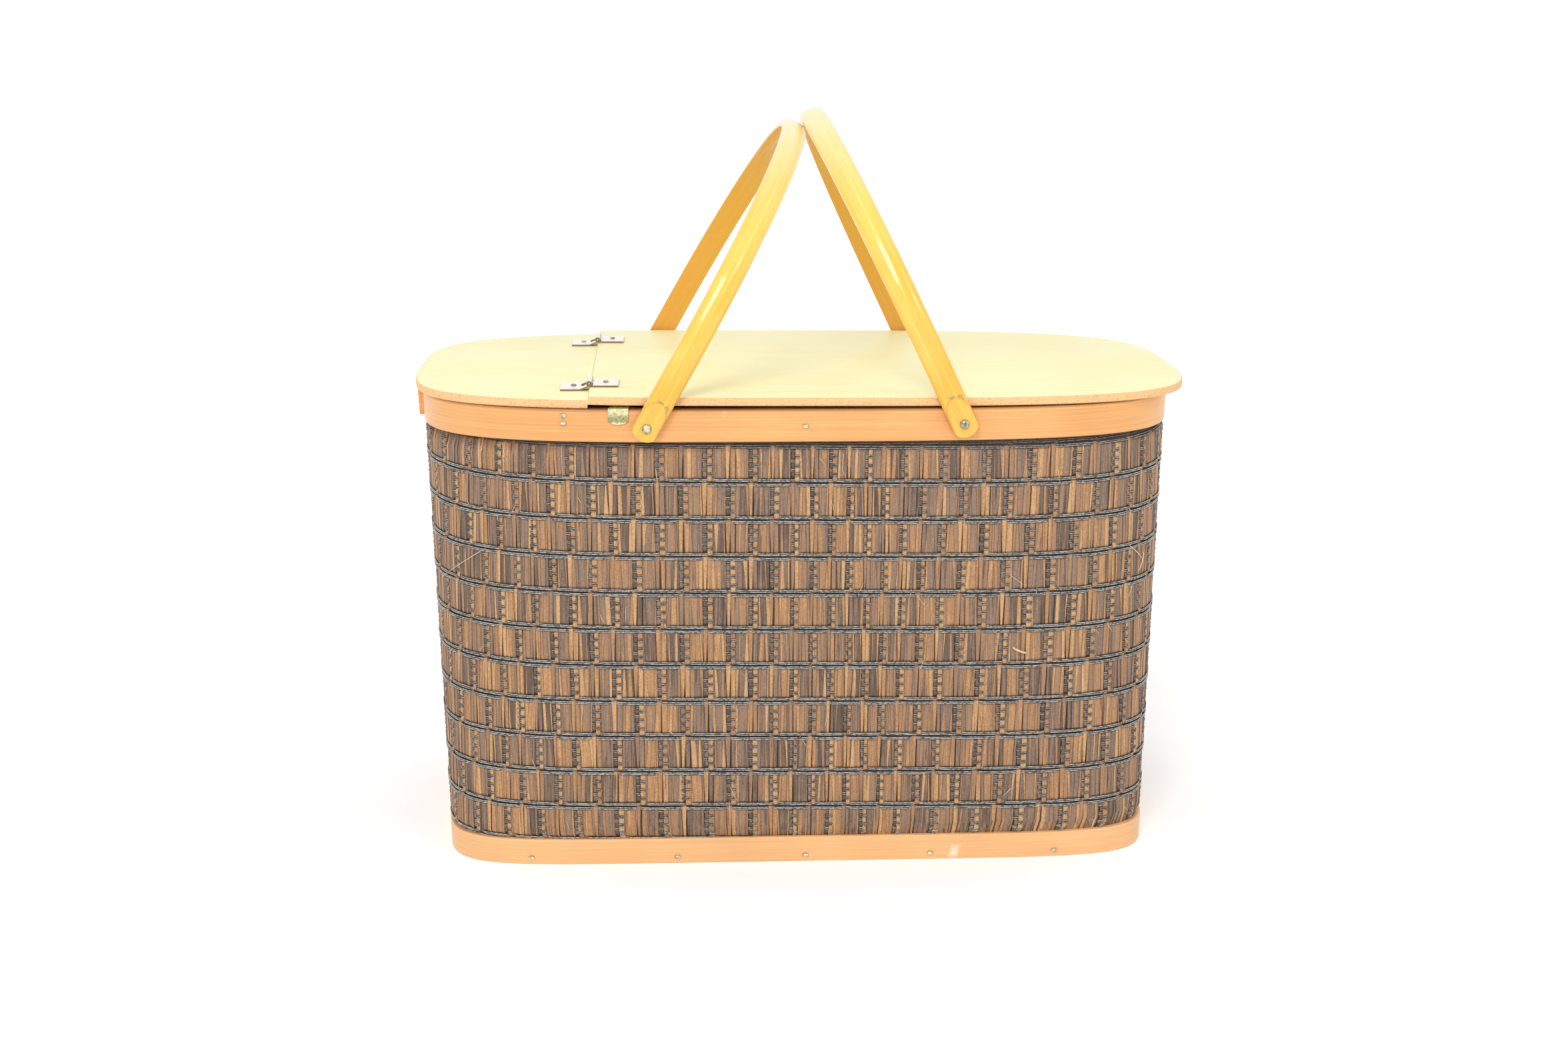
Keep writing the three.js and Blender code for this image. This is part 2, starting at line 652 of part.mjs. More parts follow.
// Distance between two convex outlines along the best separating edge; negative where they overlap.
function separation(first, second) {
  const along = (outline, other) => outline.map((point, i) => {
    const edge = outline[(i + 1) % outline.length].clone().sub(point);
    const normal = new THREE.Vector2(edge.y, -edge.x).normalize();
    return Math.min(...other.map((corner) => normal.dot(corner.clone().sub(point))));
  });
  return Math.max(...along(first, second), ...along(second, first));
}

// Rail section at the crown of a handle that leans by an angle towards the middle, seen along Y.
function crownOutline(side, lean, pivotZ) {
  const turn = THREE.MathUtils.degToRad(-side * lean);
  return railSection().map(([across, out]) => {
    const z = HANDLE_REACH + out;
    const x = side * PIVOT_X + across * Math.cos(turn) + z * Math.sin(turn);
    return new THREE.Vector2(x, pivotZ - across * Math.sin(turn) + z * Math.cos(turn));
  });
}

// The right handle leans in until its crown rests against the left one's.
function touchingLean(leftZ, rightZ) {
  const resting = crownOutline(-1, LEFT_LEAN, leftZ);
  return largestWhile((lean) => separation(resting, crownOutline(1, lean, rightZ)) > GAP, WIDEST_LEAN);
}

// Fasteners, drawn along +Y from the underside of the head.

function nail(grip) {
  return turned([
    [0, -NAIL_HEAD_HEIGHT],
    [NAIL_HEAD_RADIUS, -NAIL_HEAD_HEIGHT / 2],
    [NAIL_HEAD_RADIUS, 0],
    [NAIL_RADIUS, 0],
    [NAIL_RADIUS, grip - NAIL_POINT],
    [0, grip],
  ], NAIL_SIDES);
}

function handleRivet(grip) {
  return turned([
    ...domePoints(RIVET_HEAD_RADIUS, RIVET_HEAD_HEIGHT),
    [RIVET_HEAD_RADIUS, 0],
    [RIVET_RADIUS, 0],
    [RIVET_RADIUS, grip],
    [CLINCH_RADIUS, grip],
    [CLINCH_TOP_RADIUS, grip + CLINCH_HEIGHT],
    [0, grip + CLINCH_HEIGHT],
  ], ROUND_SIDES);
}

function rivetBurr() {
  const outer = [[BURR_RADIUS, 0], [BURR_RADIUS, BURR_THICKNESS]];
  const bore = [[RIVET_BORE, BURR_THICKNESS], [RIVET_BORE, 0]];
  return turned([[RIVET_BORE, 0], ...outer, ...bore], ROUND_SIDES);
}

// Sheet folded over the rim, drawn about the top outer edge: +Y towards the inside of the basket.
function rimClip() {
  const front = -GAP - CLIP_SHEET;
  const depth = RIM_INSIDE + GAP + BAND_EDGE;
  const top = GAP + CLIP_SHEET;
  const fold = [
    [front, -CLIP_FACE], [front + CLIP_SHEET, -CLIP_FACE], [front + CLIP_SHEET, GAP], [depth, GAP],
    [depth, -CLIP_TAIL], [depth + CLIP_SHEET, -CLIP_TAIL], [depth + CLIP_SHEET, top], [front, top],
  ];
  const shape = new THREE.Shape(fold.map(([y, z]) => new THREE.Vector2(y, z)));
  const sheet = new THREE.ExtrudeGeometry(shape, { depth: CLIP_WIDTH, bevelEnabled: false });
  sheet.rotateX(Math.PI / 2).rotateZ(Math.PI / 2).translate(-CLIP_WIDTH / 2, 0, 0);
  const lip = roundedEnd(CLIP_WIDTH, CLIP_LIP_RADIUS, CLIP_FACE, 2 * top);
  return keepInside(sheet, prismAlongY(lip, FAR, 0));
}

// Assembly

const ANGLES = outlineAngles();
const LEFT_PIVOT_Z = RIM_TOP - LEFT_PIVOT_DROP;
const RIGHT_PIVOT_Z = RIM_TOP - RIGHT_PIVOT_DROP;
const HANDLES = {
  left: { pivotX: -PIVOT_X, pivotZ: LEFT_PIVOT_Z, lean: LEFT_LEAN },
  right: { pivotX: PIVOT_X, pivotZ: RIGHT_PIVOT_Z, lean: -touchingLean(LEFT_PIVOT_Z, RIGHT_PIVOT_Z) },
};
const FACES = { front: -1, back: 1 };

const basket = new THREE.Group();

function add(name, geometry, finish, parent = basket) {
  const mesh = new THREE.Mesh(geometry, new THREE.MeshStandardMaterial(FINISHES[finish]));
  mesh.name = name;
  parent.add(mesh);
  return mesh;
}

function group(parent, x, y, z) {
  const place = new THREE.Group();
  place.position.set(x, y, z);
  parent.add(place);
  return place;
}

// Fasteners drawn along +Y are turned to point into the basket from the front or the back.
function face(mesh, side) {
  mesh.rotation.z = side > 0 ? Math.PI : 0;
  return mesh;
}

function addBody() {
  add('base_board', baseBoard(), 'plainWood');
  add('base_band', baseBand(), 'bentwood');
  add('woven_wall', wovenWall(), 'weave');
  add('rim_band_outer', rimBandOuter(), 'bentwood');
  add('rim_band_inner', rimBandInner(), 'bentwood');
  const clip = add('rim_clip', rimClip(), 'brass');
  clip.position.set(CLIP_X, -bodySide(CLIP_X, RIM_TOP, 0), RIM_TOP);
  clip.rotation.z = rimSlope(CLIP_X);
}

function addBodyNails() {
  const headGap = GAP + NAIL_HEAD_HEIGHT / 2;
  for (const [faceName, side] of Object.entries(FACES)) {
    BASE_NAIL_X.forEach((x, i) => {
      const mesh = face(add(`base_nail_${faceName}_${i + 1}`, nail(BASE_NAIL_GRIP), 'brass'), side);
      mesh.position.set(x, side * (bodySide(x, BASE_NAIL_Z, 0) + headGap), BASE_NAIL_Z);
    });
    const rimNail = face(add(`rim_nail_${faceName}`, nail(RIM_INSIDE - GAP), 'brass'), side);
    const z = RIM_TOP - RIM_NAIL_DROP;
    rimNail.position.set(0, side * (bodySide(0, z, 0) + headGap), z);
  }
  for (const [endName, side] of Object.entries({ left: -1, right: 1 })) {
    const mesh = add(`base_nail_${endName}`, nail(BASE_NAIL_GRIP), 'brass');
    mesh.rotation.z = (side * Math.PI) / 2;
    mesh.position.set(side * (bodyPoint(BASE_NAIL_Z, 0, 0).x + headGap), 0, BASE_NAIL_Z);
  }
}

function addFixedLid() {
  add('fixed_lid', fixedLid(), 'hardboard');
  add('lid_crossbar', lidCrossbar(), 'plainWood');
  const headGap = GAP + NAIL_HEAD_HEIGHT;
  for (const [faceName, side] of Object.entries(FACES)) {
    ['upper', 'lower'].forEach((level, i) => {
      const z = barNailHeights()[i];
      const start = bodySide(BAR_X, z, 0) + headGap;
      const grip = start - barHalfLength() + BAR_NAIL_GRIP;
      const mesh = face(add(`crossbar_nail_${faceName}_${level}`, nail(grip), 'brass'), side);
      mesh.position.set(BAR_X, side * start, z);
    });
    const screw = add(`crossbar_screw_${faceName}`, nail(BAR_HEIGHT + 2 * GAP + SCREW_BITE), 'nickel');
    screw.rotation.x = Math.PI / 2;
    screw.position.set(BAR_X, side * SCREW_Y, BAR_TOP - BAR_HEIGHT - GAP);
  }
}

function addMovingLid() {
  const lid = group(basket, SEAM_X, 0, HINGE_Z);
  lid.rotation.y = THREE.MathUtils.degToRad(LID_TILT);
  add('lid_panel', lidPanel(), 'hardboard', lid);
  for (const [faceName, side] of Object.entries(FACES)) {
    const y = side * HINGE_Y;
    add(`hinge_leaf_lid_${faceName}`, movingLeaf(), 'nickel', lid).position.y = y;
    const rivet = add(`hinge_rivet_${faceName}`, leafRivet(true), 'nickel', lid);
    rivet.position.set(LEAF_RIVET_X, y, -KNUCKLE_INNER + GAP);
    const hinge = group(basket, SEAM_X, y, HINGE_Z);
    add(`hinge_leaf_fixed_${faceName}`, fixedLeaf(), 'nickel', hinge);
    add(`hinge_pin_${faceName}`, rod(HINGE_PIN_RADIUS, HINGE_WIDTH, NAIL_SIDES), 'nickel', hinge);
    const tack = add(`hinge_tack_${faceName}`, leafRivet(false), 'nickel');
    tack.position.set(SEAM_X - LEAF_RIVET_X, y, FIXED_LID_TOP + LEAF_SHEET + 2 * GAP);
  }
}

function addHandles() {
  for (const [name, { pivotX, pivotZ, lean }] of Object.entries(HANDLES)) {
    const inside = handleInside(pivotZ);
    const pivot = group(basket, pivotX, 0, pivotZ);
    const rail = add(`handle_${name}`, handle(inside), 'lacquered', pivot);
    rail.rotation.y = THREE.MathUtils.degToRad(lean);
    const seat = RIVET_HEAD_RADIUS * Math.tan(THREE.MathUtils.degToRad(SHAVE_ANGLE)) + GAP;
    const head = inside + SHAVE_THICKNESS + seat;
    const burrFace = bodySide(PIVOT_X, pivotZ, RIM_INSIDE) - 2 * GAP;
    const grip = head - burrFace + BURR_THICKNESS + GAP;
    for (const [faceName, side] of Object.entries(FACES)) {
      const rivet = face(add(`handle_rivet_${name}_${faceName}`, handleRivet(grip), 'nickel', pivot), side);
      rivet.position.y = side * head;
      const burr = face(add(`rivet_burr_${name}_${faceName}`, rivetBurr(), 'nickel', pivot), side);
      burr.position.y = side * burrFace;
    }
  }
}

addBody();
addBodyNails();
addFixedLid();
addMovingLid();
addHandles();

export default basket;
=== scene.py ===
"""Weave, wood and metal looks for a lidded picnic basket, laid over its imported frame."""

import itertools
import json
import math

import bmesh
import bpy
import numpy as np
from bpy.props import FloatProperty, FloatVectorProperty, IntProperty, PointerProperty
from bpy.types import Operator, Panel, PropertyGroup
from mathutils import Matrix, Vector


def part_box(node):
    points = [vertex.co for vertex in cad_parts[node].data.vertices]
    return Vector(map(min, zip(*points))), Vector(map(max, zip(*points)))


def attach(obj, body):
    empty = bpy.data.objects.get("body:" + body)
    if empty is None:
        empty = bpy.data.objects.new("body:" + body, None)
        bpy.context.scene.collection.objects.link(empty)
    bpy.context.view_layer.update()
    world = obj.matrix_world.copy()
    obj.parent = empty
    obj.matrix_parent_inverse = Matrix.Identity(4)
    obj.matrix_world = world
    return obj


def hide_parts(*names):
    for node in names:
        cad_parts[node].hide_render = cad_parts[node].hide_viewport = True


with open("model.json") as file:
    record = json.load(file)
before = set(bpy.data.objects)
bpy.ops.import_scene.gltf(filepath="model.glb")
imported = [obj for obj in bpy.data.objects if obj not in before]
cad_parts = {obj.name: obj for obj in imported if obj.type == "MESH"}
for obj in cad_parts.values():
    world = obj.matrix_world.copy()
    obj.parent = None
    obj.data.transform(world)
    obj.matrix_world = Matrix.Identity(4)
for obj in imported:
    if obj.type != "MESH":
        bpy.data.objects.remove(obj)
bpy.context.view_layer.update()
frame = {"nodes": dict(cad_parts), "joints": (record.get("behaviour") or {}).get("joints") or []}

bl_info = {
    "name": "Woven Picnic Basket",
    "version": (1, 0, 0),
    "blender": (4, 5, 0),
    "location": "View3D > Sidebar > Basket",
    "description": "Builds the weave, wood and metal looks of a lidded picnic basket over its packed frame",
    "category": "Add Mesh",
}

GRAIN_UV = "grain"
FULL_TURN = 2 * math.pi
# Angles of one turn round the basket that starts at the middle of its back.
FROM_BACK = (0.25 * FULL_TURN, 1.25 * FULL_TURN)

# Points along outlines and sections.
ROUND_STEPS = 361
FINE_STEPS = 2881
BAND_STEPS = 721
LID_STEPS = 1440
SEAM_POINTS = 90
BACKING_STEPS = 80
WALL_STEPS = (4, 5, 24, 5, 4)
RAIL_STEPS = 25
SHAVED_STEPS = 40
LEG_STEPS = 6
CROWN_STEPS = 49
EDGE_STEPS = 4
DOME_SIDES = 20
DOME_STEPS = 6

# Lanes across one weave cell: two narrow warps that float in this row, then in each gap between the
# narrow warps a wide flat strip with two narrow ones over it. Middles, strays and widths are shares of
# the cell's width, spreads and tapers are shares of a lane's own width, rises are metres and tones run
# from 0, deep, to 1, pale.
LANE_MIDDLES = (0.545, 0.655, 0.355, 0.265, 0.455, 0.855, 0.760, 0.945)
LANES = len(LANE_MIDDLES)
LANE_STRAYS = (0.010, 0.012) + 2 * (0.006, 0.045, 0.040)
LANE_WIDTHS = (0.125, 0.135) + 2 * (0.310, 0.095, 0.085)
LANE_SPREADS = (0.10, 0.12) + 2 * (0.04, 0.60, 0.60)
LANE_RISES = (0.00022, 0.00012) + 2 * (0.0, 0.00014, 0.00020)
LANE_TAPERS_LOW = (0.25, -0.15) + 2 * (-0.04, -0.85, -0.85)
LANE_TAPERS_HIGH = (0.60, 0.30) + 2 * (0.04, 0.85, 0.85)
LANE_TONES_LOW = (0.35, 0.05) + 2 * (0.00, 0.20, 0.20)
LANE_TONES_HIGH = (1.00, 0.95) + 2 * (0.75, 1.05, 1.05)

# Where warps end, in metres from the upper pick of a double cord: below both picks, between them
# and above them.
UNDER_PICKS = 0.003
BETWEEN_PICKS = 0.0013
OVER_PICKS = 0.0006
STRIP_DROPS = (BETWEEN_PICKS,) + (LANES - 1) * (UNDER_PICKS,)
STRIP_STATIONS = (0, 0.03, 0.1, 0.5, 0.9, 0.97, 1)
STRIP_DIVE = 0.0011
STRIP_DEPTH_SPREAD = 0.00005
STRIP_LEAN = 1.4
# How far strips run on behind the bands, and the section of a strip or narrow warp.
BEHIND_BANDS = 0.0045
RIBBON_SHOULDER = 0.44
RIBBON_TUCK = 0.0006

# The two narrow warps that stitches bind, left and right.
LADDER_MIDDLES = (0.050, 0.155)
LADDER_WIDTHS = (0.105, 0.130)
LADDER_FEET = (OVER_PICKS, -BETWEEN_PICKS)
LADDER_RISES = (-0.0001, 0.0002)
LADDER_TONES = (-0.15, 0.5)
LADDER_TONE_SPREAD = 0.5
LADDER_LOOSE = (0.9, 1.08)
LADDER_LEAN = 0.012
LADDER_STATIONS = tuple(np.linspace(0, 1, 18))
LADDER_DIVE = 0.0009

# Stitches and threads.
STITCHES = 6
FIRST_STITCH = 2
STITCH_WIDTHS = (0.125, 0.155)
STITCH_RISES = (-0.0002, 0.0001)
STITCH_STRAY = 0.0002
STITCH_WOBBLE = 0.00018
STITCH_LOOSE = (0.9, 1.1)
STITCH_LEAN = 0.05
STITCH_GIRTH = 1.04
STITCH_SHARPNESS = 1.6
# Places along a stitch of unit length and how far it is sunk there.
STITCH_ARCH = ((-0.5, 0.0013), (-0.34, 0.00025), (0, 0), (0.34, 0.00025), (0.5, 0.0013))
THREAD_DEGREES = (-20, 60, 120, 200)
THREADS = 2
CORD_POINTS = 10
CORD_SIDES = 6
CORD_SHARPNESS = 1.1
# Distances from the middle of a covering warp, as shares of a cell, where a cord starts to dip and
# where it lies deepest.
CORD_DIP_REACH = (0.115, 0.05)
CORD_WAVER = 0.0006
CORD_WAVER_SCALE = 110.0
# How far apart threads lie in the noise that makes them waver, and whole cells that are added before
# the share of a cell is taken, so that it is taken of a positive number.
THREAD_CHANCES = 100.0
WHOLE_CELLS = 100.0

# Loose fibres: how far round the front they lie, their lengths and the spread of their leans.
FIBRE_SPAN = 0.7
FIBRE_LENGTHS = (0.004, 0.013)
FIBRE_LEAN = 0.5
# Loose fibres that stand out on the wall: distance round from the middle of the front, height,
# length, lean and girth as a share of a short fibre's.
LONG_FIBRES = (
    (-0.212, 0.178, 0.060, -0.55, 1.6),
    (0.200, 0.187, 0.020, 0.70, 1.6),
    (0.206, 0.180, 0.014, -1.10, 1.6),
    (0.130, 0.134, 0.009, 0.42, 4.0),
)

# Depth of the backing behind the wall's face, its thickness and the reach of its weld, in metres.
BACKING_DEPTH = 0.0004
BACKING_THICKNESS = 0.0024
WELD = 1e-6
# Levels of a lid's edge, from its underside and from its top, and how far each is cut back.
LOWER_EDGE = ((0.0, 0.0006), (0.0004, 0.0001), (0.0012, 0.0))
UPPER_EDGE = ((0.0005, 0.0), (0.00015, 0.00015), (0.0, 0.0006))
FRAYED_LEVEL = 1
FRAY_CUT = 0.6
FRAY_WINDOW = 3
FRAY_MARGIN = 4
LID_SEED = 11

# Rails and fastener heads, in metres apart from shares of a half width and of a head's length.
RAIL_SOFT = 0.0006
RAIL_SOFT_FROM = 0.9
SHAVE_RUNOUT = 0.003
DOME_SKIRT = 0.0004
RIVET_HEAD = {"radius": 0.0027, "height": 0.0017}
NAIL_HEAD = {"radius": 0.0018, "height": 0.0006, "flat": 0.65}

# Range of a noise's middle tones, its settings for fine grain and tints that darken by multiplying.
MIDDLE_TONES = (0.3, 0.7)
FINE_GRAIN = {"detail": 6, "roughness": 0.62, "distortion": 0.2}
# Tint of the painted shadow under the lid on the rim band's top edge.
UNDER_LID_SHADOW = (0.35, 0.26, 0.2)
STRIP_AGE = (0.16, 0.11, 0.08)
STRIP_DARK = (0.24, 0.19, 0.15)
# Tint of the painted shade round the rims of domed heads.
HEAD_RIM_SHADE = (0.22, 0.19, 0.15)

# Floor, light and camera.
FLOOR_REACH = 12.0
FLOOR_SPECKS = 30.0
ROOM_LIGHT = 0.75
SEEN_LIGHT = 1.0
LAMP_TARGET = (0, 0, 0.2)
# Each lamp's place, size in metres and power in watts.
LAMPS = {
    "key": ((-1.2, -4.4, 3.6), 2.2, 114),
    "side": ((1.3, -1.7, 1.5), 0.4, 3),
    "top": ((0, 0.4, 3.2), 1.5, 4.5),
}
CAMERA_PLACE = (-0.0790, -1.4142, 0.5086)
CAMERA_YAW = 0.0523
CAMERA_PITCH = 0.2267
CAMERA_ROLL = 0.003
CAMERA_SENSOR = 36
CAMERA_LENS = 52.09


def srgb(red, green, blue):
    """Linear colour of an sRGB triple from 0 to 255."""
    channels = [value / 255 for value in (red, green, blue)]
    return tuple(c / 12.92 if c <= 0.04045 else ((c + 0.055) / 1.055) ** 2.4 for c in channels)


def distance(name, description, default):
    """A length property in metres."""
    return FloatProperty(name=name, description=description, default=default, precision=5, unit="LENGTH")


def turn(name, description, degrees):
    """An angle property."""
    return FloatProperty(name=name, description=description, default=math.radians(degrees), unit="ROTATION")


def share(name, description, default):
    """A plain number property."""
    return FloatProperty(name=name, description=description, default=default, precision=4)


def count(name, description, default, **limits):
    """A whole number property."""
    return IntProperty(name=name, description=description, default=default, **limits)


def colour(name, description, *rgb):
    """A colour property from an sRGB triple."""
    return FloatVectorProperty(
        name=name, description=description, subtype="COLOR", size=3, min=0, max=1, default=srgb(*rgb)
    )


class BasketShape(PropertyGroup):
    """Sizes of the wooden body, lid and handles."""

    foot_length: distance("Foot length", "Length of the outline at the foot", 0.431)
    foot_width: distance("Foot width", "Width of the outline at the foot", 0.248)
    foot_squareness: share("Foot squareness", "Superellipse power of the outline at the foot", 7.5)
    rim_length: distance("Rim length", "Length of the outline at the rim", 0.456)
    rim_width: distance("Rim width", "Width of the outline at the rim", 0.277)
    rim_squareness: share("Rim squareness", "Superellipse power of the outline at the rim", 3.7)
    rim_height: distance("Rim height", "Height of the rim's top edge", 0.280)
    band_thickness: distance("Band thickness", "Thickness of the bentwood bands", 0.003)
    band_edge: distance("Band edge", "Rounding of a band's outer edges", 0.0009)
    wall_inset: distance("Wall inset", "How far the wall lies inside the outline behind the bands", 0.0033)
    wall_bulge: distance("Wall bulge", "How far the wall swells out between the bands", 0.002)
    bulge_rise: distance("Bulge rise", "Height over which the wall swells out", 0.004)
    lap_start: turn("Lap start", "Angle where the outer rim band starts under its own end", 162)
    lap_end: turn("Lap end", "Angle past a full turn where the rim band's free end lies", 190)
    lap_ramp: turn("Lap ramp", "Angle over which the free end lifts over the start", 18)
    lap_lift: distance("Lap lift", "How far the free end stands out", 0.0033)
    joint_angle: turn("Joint angle", "Angle of the butt joints in the other bands", 70)
    joint_gap: turn("Joint gap", "Half the opening of a butt joint", 0.13)
    lid_squareness: share("Lid squareness", "Superellipse power of the lid's outline", 3.7)
    lid_thickness: distance("Lid thickness", "Thickness of the lid boards", 0.0048)
    lid_fray: distance("Lid fray", "Roughness of the lid's lower edge", 0.00015)
    seam_trim: distance("Seam trim", "How far each lid board reaches into the gap at the seam", 0.00046)
    rail_width: distance("Rail width", "Width of a handle rail", 0.0152)
    rail_side: distance("Rail side", "Flat side of a handle rail below its dome", 0.003)
    rail_thickness: distance("Rail thickness", "Thickness of a handle rail", 0.0075)
    leg_straight: distance("Leg straight", "Straight length of a handle leg above its rivet", 0.042)
    handle_reach: distance("Handle reach", "Height of the handle's inner crown above its rivets", 0.182)
    leg_end: distance("Leg end", "How far a leg reaches below its rivet", 0.008)
    leg_radius: distance("Leg end radius", "Radius of a leg's rounded end", 0.0086)
    shave_thickness: distance("Shave thickness", "Thickness of the shaved leg at its rivet", 0.0052)
    shave_angle: turn("Shave angle", "Slope of the shaved face", 8)
    shave_length: distance("Shave length", "Height of the shaved face above the rivet", 0.015)
    left_lean: turn("Left lean", "Lean of the left handle towards the middle", 29.5)
    right_lean: turn("Right lean", "Lean of the right handle towards the middle", -25.432)


class BasketWeave(PropertyGroup):
    """Layout of the weave."""

    cells: count("Cells", "Weave cells round the basket", 53, min=8, max=80)
    swells: count("Swells", "How often cells widen round the basket", 6, min=0)
    swell: share("Swell", "How far cells shift where they widen, as a share of the way round", 0.004)
    swell_phase: turn("Swell phase", "Where the cells widen", 123.94)
    rows: count("Rows", "Rows of cells between the bands", 11, min=2, max=20)
    top: distance("Top", "Height of the uppermost double cord", 0.2603)
    row_height: distance("Row height", "Height of one row", 0.0223)
    phase: distance("Phase", "Where a cell of the top row starts, from the middle of the front", -0.0847)
    slope: share("Slope", "Rise of the rows towards +X", -0.011)
    end_lift: distance("End lift", "How far the rows rise at the basket's ends", 0.005)
    lift_power: share("Lift power", "How late towards the ends the rows rise", 8.0)
    pick: distance("Pick", "Height from one weft pick to the next", 0.00268)
    cord_radius: distance("Cord radius", "Radius of one of a cord's two threads", 0.00048)
    strip_rise: distance("Strip rise", "Height of a strip's crown over the wall", 0.00035)
    bead_rise: distance("Bead rise", "Swell of a narrow warp between two stitches", 0.00045)
    cord_rise: distance("Cord rise", "Height of the cords' middle over the wall", 0.0008)
    cord_dip: distance("Cord dip", "Depth of a cord where it goes under a warp", 0.0016)
    stitch_rise: distance("Stitch rise", "Height of the stitches over the wall", 0.0006)
    fibres: count("Loose fibres", "Short loose fibres on the wall", 120, min=0)
    fibre_radius: distance("Fibre radius", "Radius of a loose fibre", 0.00016)
    seed: count("Seed", "Seed of the weave's unevenness", 7, min=0)


class BasketFinish(PropertyGroup):
    """Colours."""

    strip_deep: colour("Strip, deep", "Darkest streaks of the weave", 94, 74, 60)
    strip_cool: colour("Strip, cool", "Greyed strips of the weave", 146, 121, 102)
    strip_warm: colour("Strip, warm", "Orange-brown strips of the weave", 190, 139, 92)
    strip_pale: colour("Strip, pale", "Palest streaks of the weave", 218, 172, 120)
    # Painted shade on the thread's sides and painted highlight on its crests.
    cord_dark: colour("Cord, dark", "Shaded sides of the thread that binds the weave", 68, 63, 59)
    cord_crest_highlight: colour("Cord, light", "Waxed crests of the thread", 212, 207, 199)
    backing: colour("Backing", "Shaded wood behind the strips", 92, 70, 54)
    band_light: colour("Band, light", "Light grain of the bands", 247, 185, 116)
    band_dark: colour("Band, dark", "Dark grain of the bands", 223, 153, 86)
    band_scrape: colour("Band, scrape", "Bare wood where the base band is scratched", 255, 243, 226)
    # Also painted as light that makes the bands paler towards the foot.
    band_rub_and_foot_light: colour("Band, rubbed", "Pale rubbed patches of the bands", 253, 216, 168)
    fibre: colour("Loose fibre", "Pale loose fibres of the weave", 238, 214, 184)
    lid_face: colour("Lid face", "Pale face of the lid", 255, 250, 196)
    lid_grain: colour("Lid grain", "Faint grain of the lid", 254, 244, 181)
    lid_edge: colour("Lid edge", "Fibrous edge of the lid", 248, 200, 142)
    lid_fibre: colour("Lid fibre", "Darker fibres of the lid's edge", 222, 168, 114)
    handle_light: colour("Handle, light", "Light grain of the handles", 254, 220, 112)
    handle_dark: colour("Handle, dark", "Dark grain of the handles", 248, 198, 76)
    # Painted light that pales the handles' crown.
    handle_crown_light: colour("Handle, crown", "Paler lacquer of the crown", 255, 240, 184)
    # Painted shade towards the ends of the handles' legs.
    handle_leg_shade: colour("Handle, deep", "Deeper lacquer towards the leg ends", 243, 176, 42)
    handle_shaved: colour("Handle, shaved", "Flat shaved by the rivets", 238, 192, 92)
    # Darker colour of the inner face and sides, also painted as the shade line round the shaved flat.
    handle_inner: colour("Handle, inner", "Unpolished inner face of the handles", 218, 154, 52)
    scuff: colour("Scuff", "Dull marks that rubbing left on the handles", 120, 124, 104)
    plain_light: colour("Plain wood, light", "Light grain of hidden wood", 226, 190, 140)
    plain_dark: colour("Plain wood, dark", "Dark grain of hidden wood", 196, 152, 102)
    hinge: colour("Hinge", "Bright plated hinges", 255, 251, 240)
    # Darker sides of the hinges, on faces that turn away from upwards.
    hinge_edge: colour("Hinge edge", "Dulled cut edges of the hinges", 150, 122, 92)
    rivet: colour("Rivet", "Plated rivets", 220, 212, 178)
    clip: colour("Clip", "Clip on the rim", 236, 230, 186)
    # Darker middle of the clip.
    clip_middle: colour("Clip, shade", "Worn middle of the clip", 164, 156, 118)
    # Painted highlight on the clip's fold and lip.
    clip_highlight: colour("Clip, lip", "Bright fold and lip of the clip", 255, 254, 246)
    nail: colour("Nail", "Worn nails", 234, 224, 182)
    floor: colour("Floor", "Pale floor and backdrop", 255, 255, 255)


def reckoning(kind, swapped=False):
    """A method that adds a math node of a kind between a field and another value."""
    def method(self, other):
        values = (other, self) if swapped else (self, other)
        return self.graph.math(kind, *values)
    return method


class Field:
    """A node socket that can be reckoned with like a number."""

    def __init__(self, graph, socket):
        self.graph, self.socket = graph, socket

    __add__ = __radd__ = reckoning("ADD")
    __mul__ = __rmul__ = reckoning("MULTIPLY")
    __sub__ = reckoning("SUBTRACT")
    __rsub__ = reckoning("SUBTRACT", swapped=True)
    __truediv__ = reckoning("DIVIDE")
    __rtruediv__ = reckoning("DIVIDE", swapped=True)
    __mod__ = reckoning("MODULO")
    __pow__ = reckoning("POWER")

    def __abs__(self):
        return self.graph.math("ABSOLUTE", self)


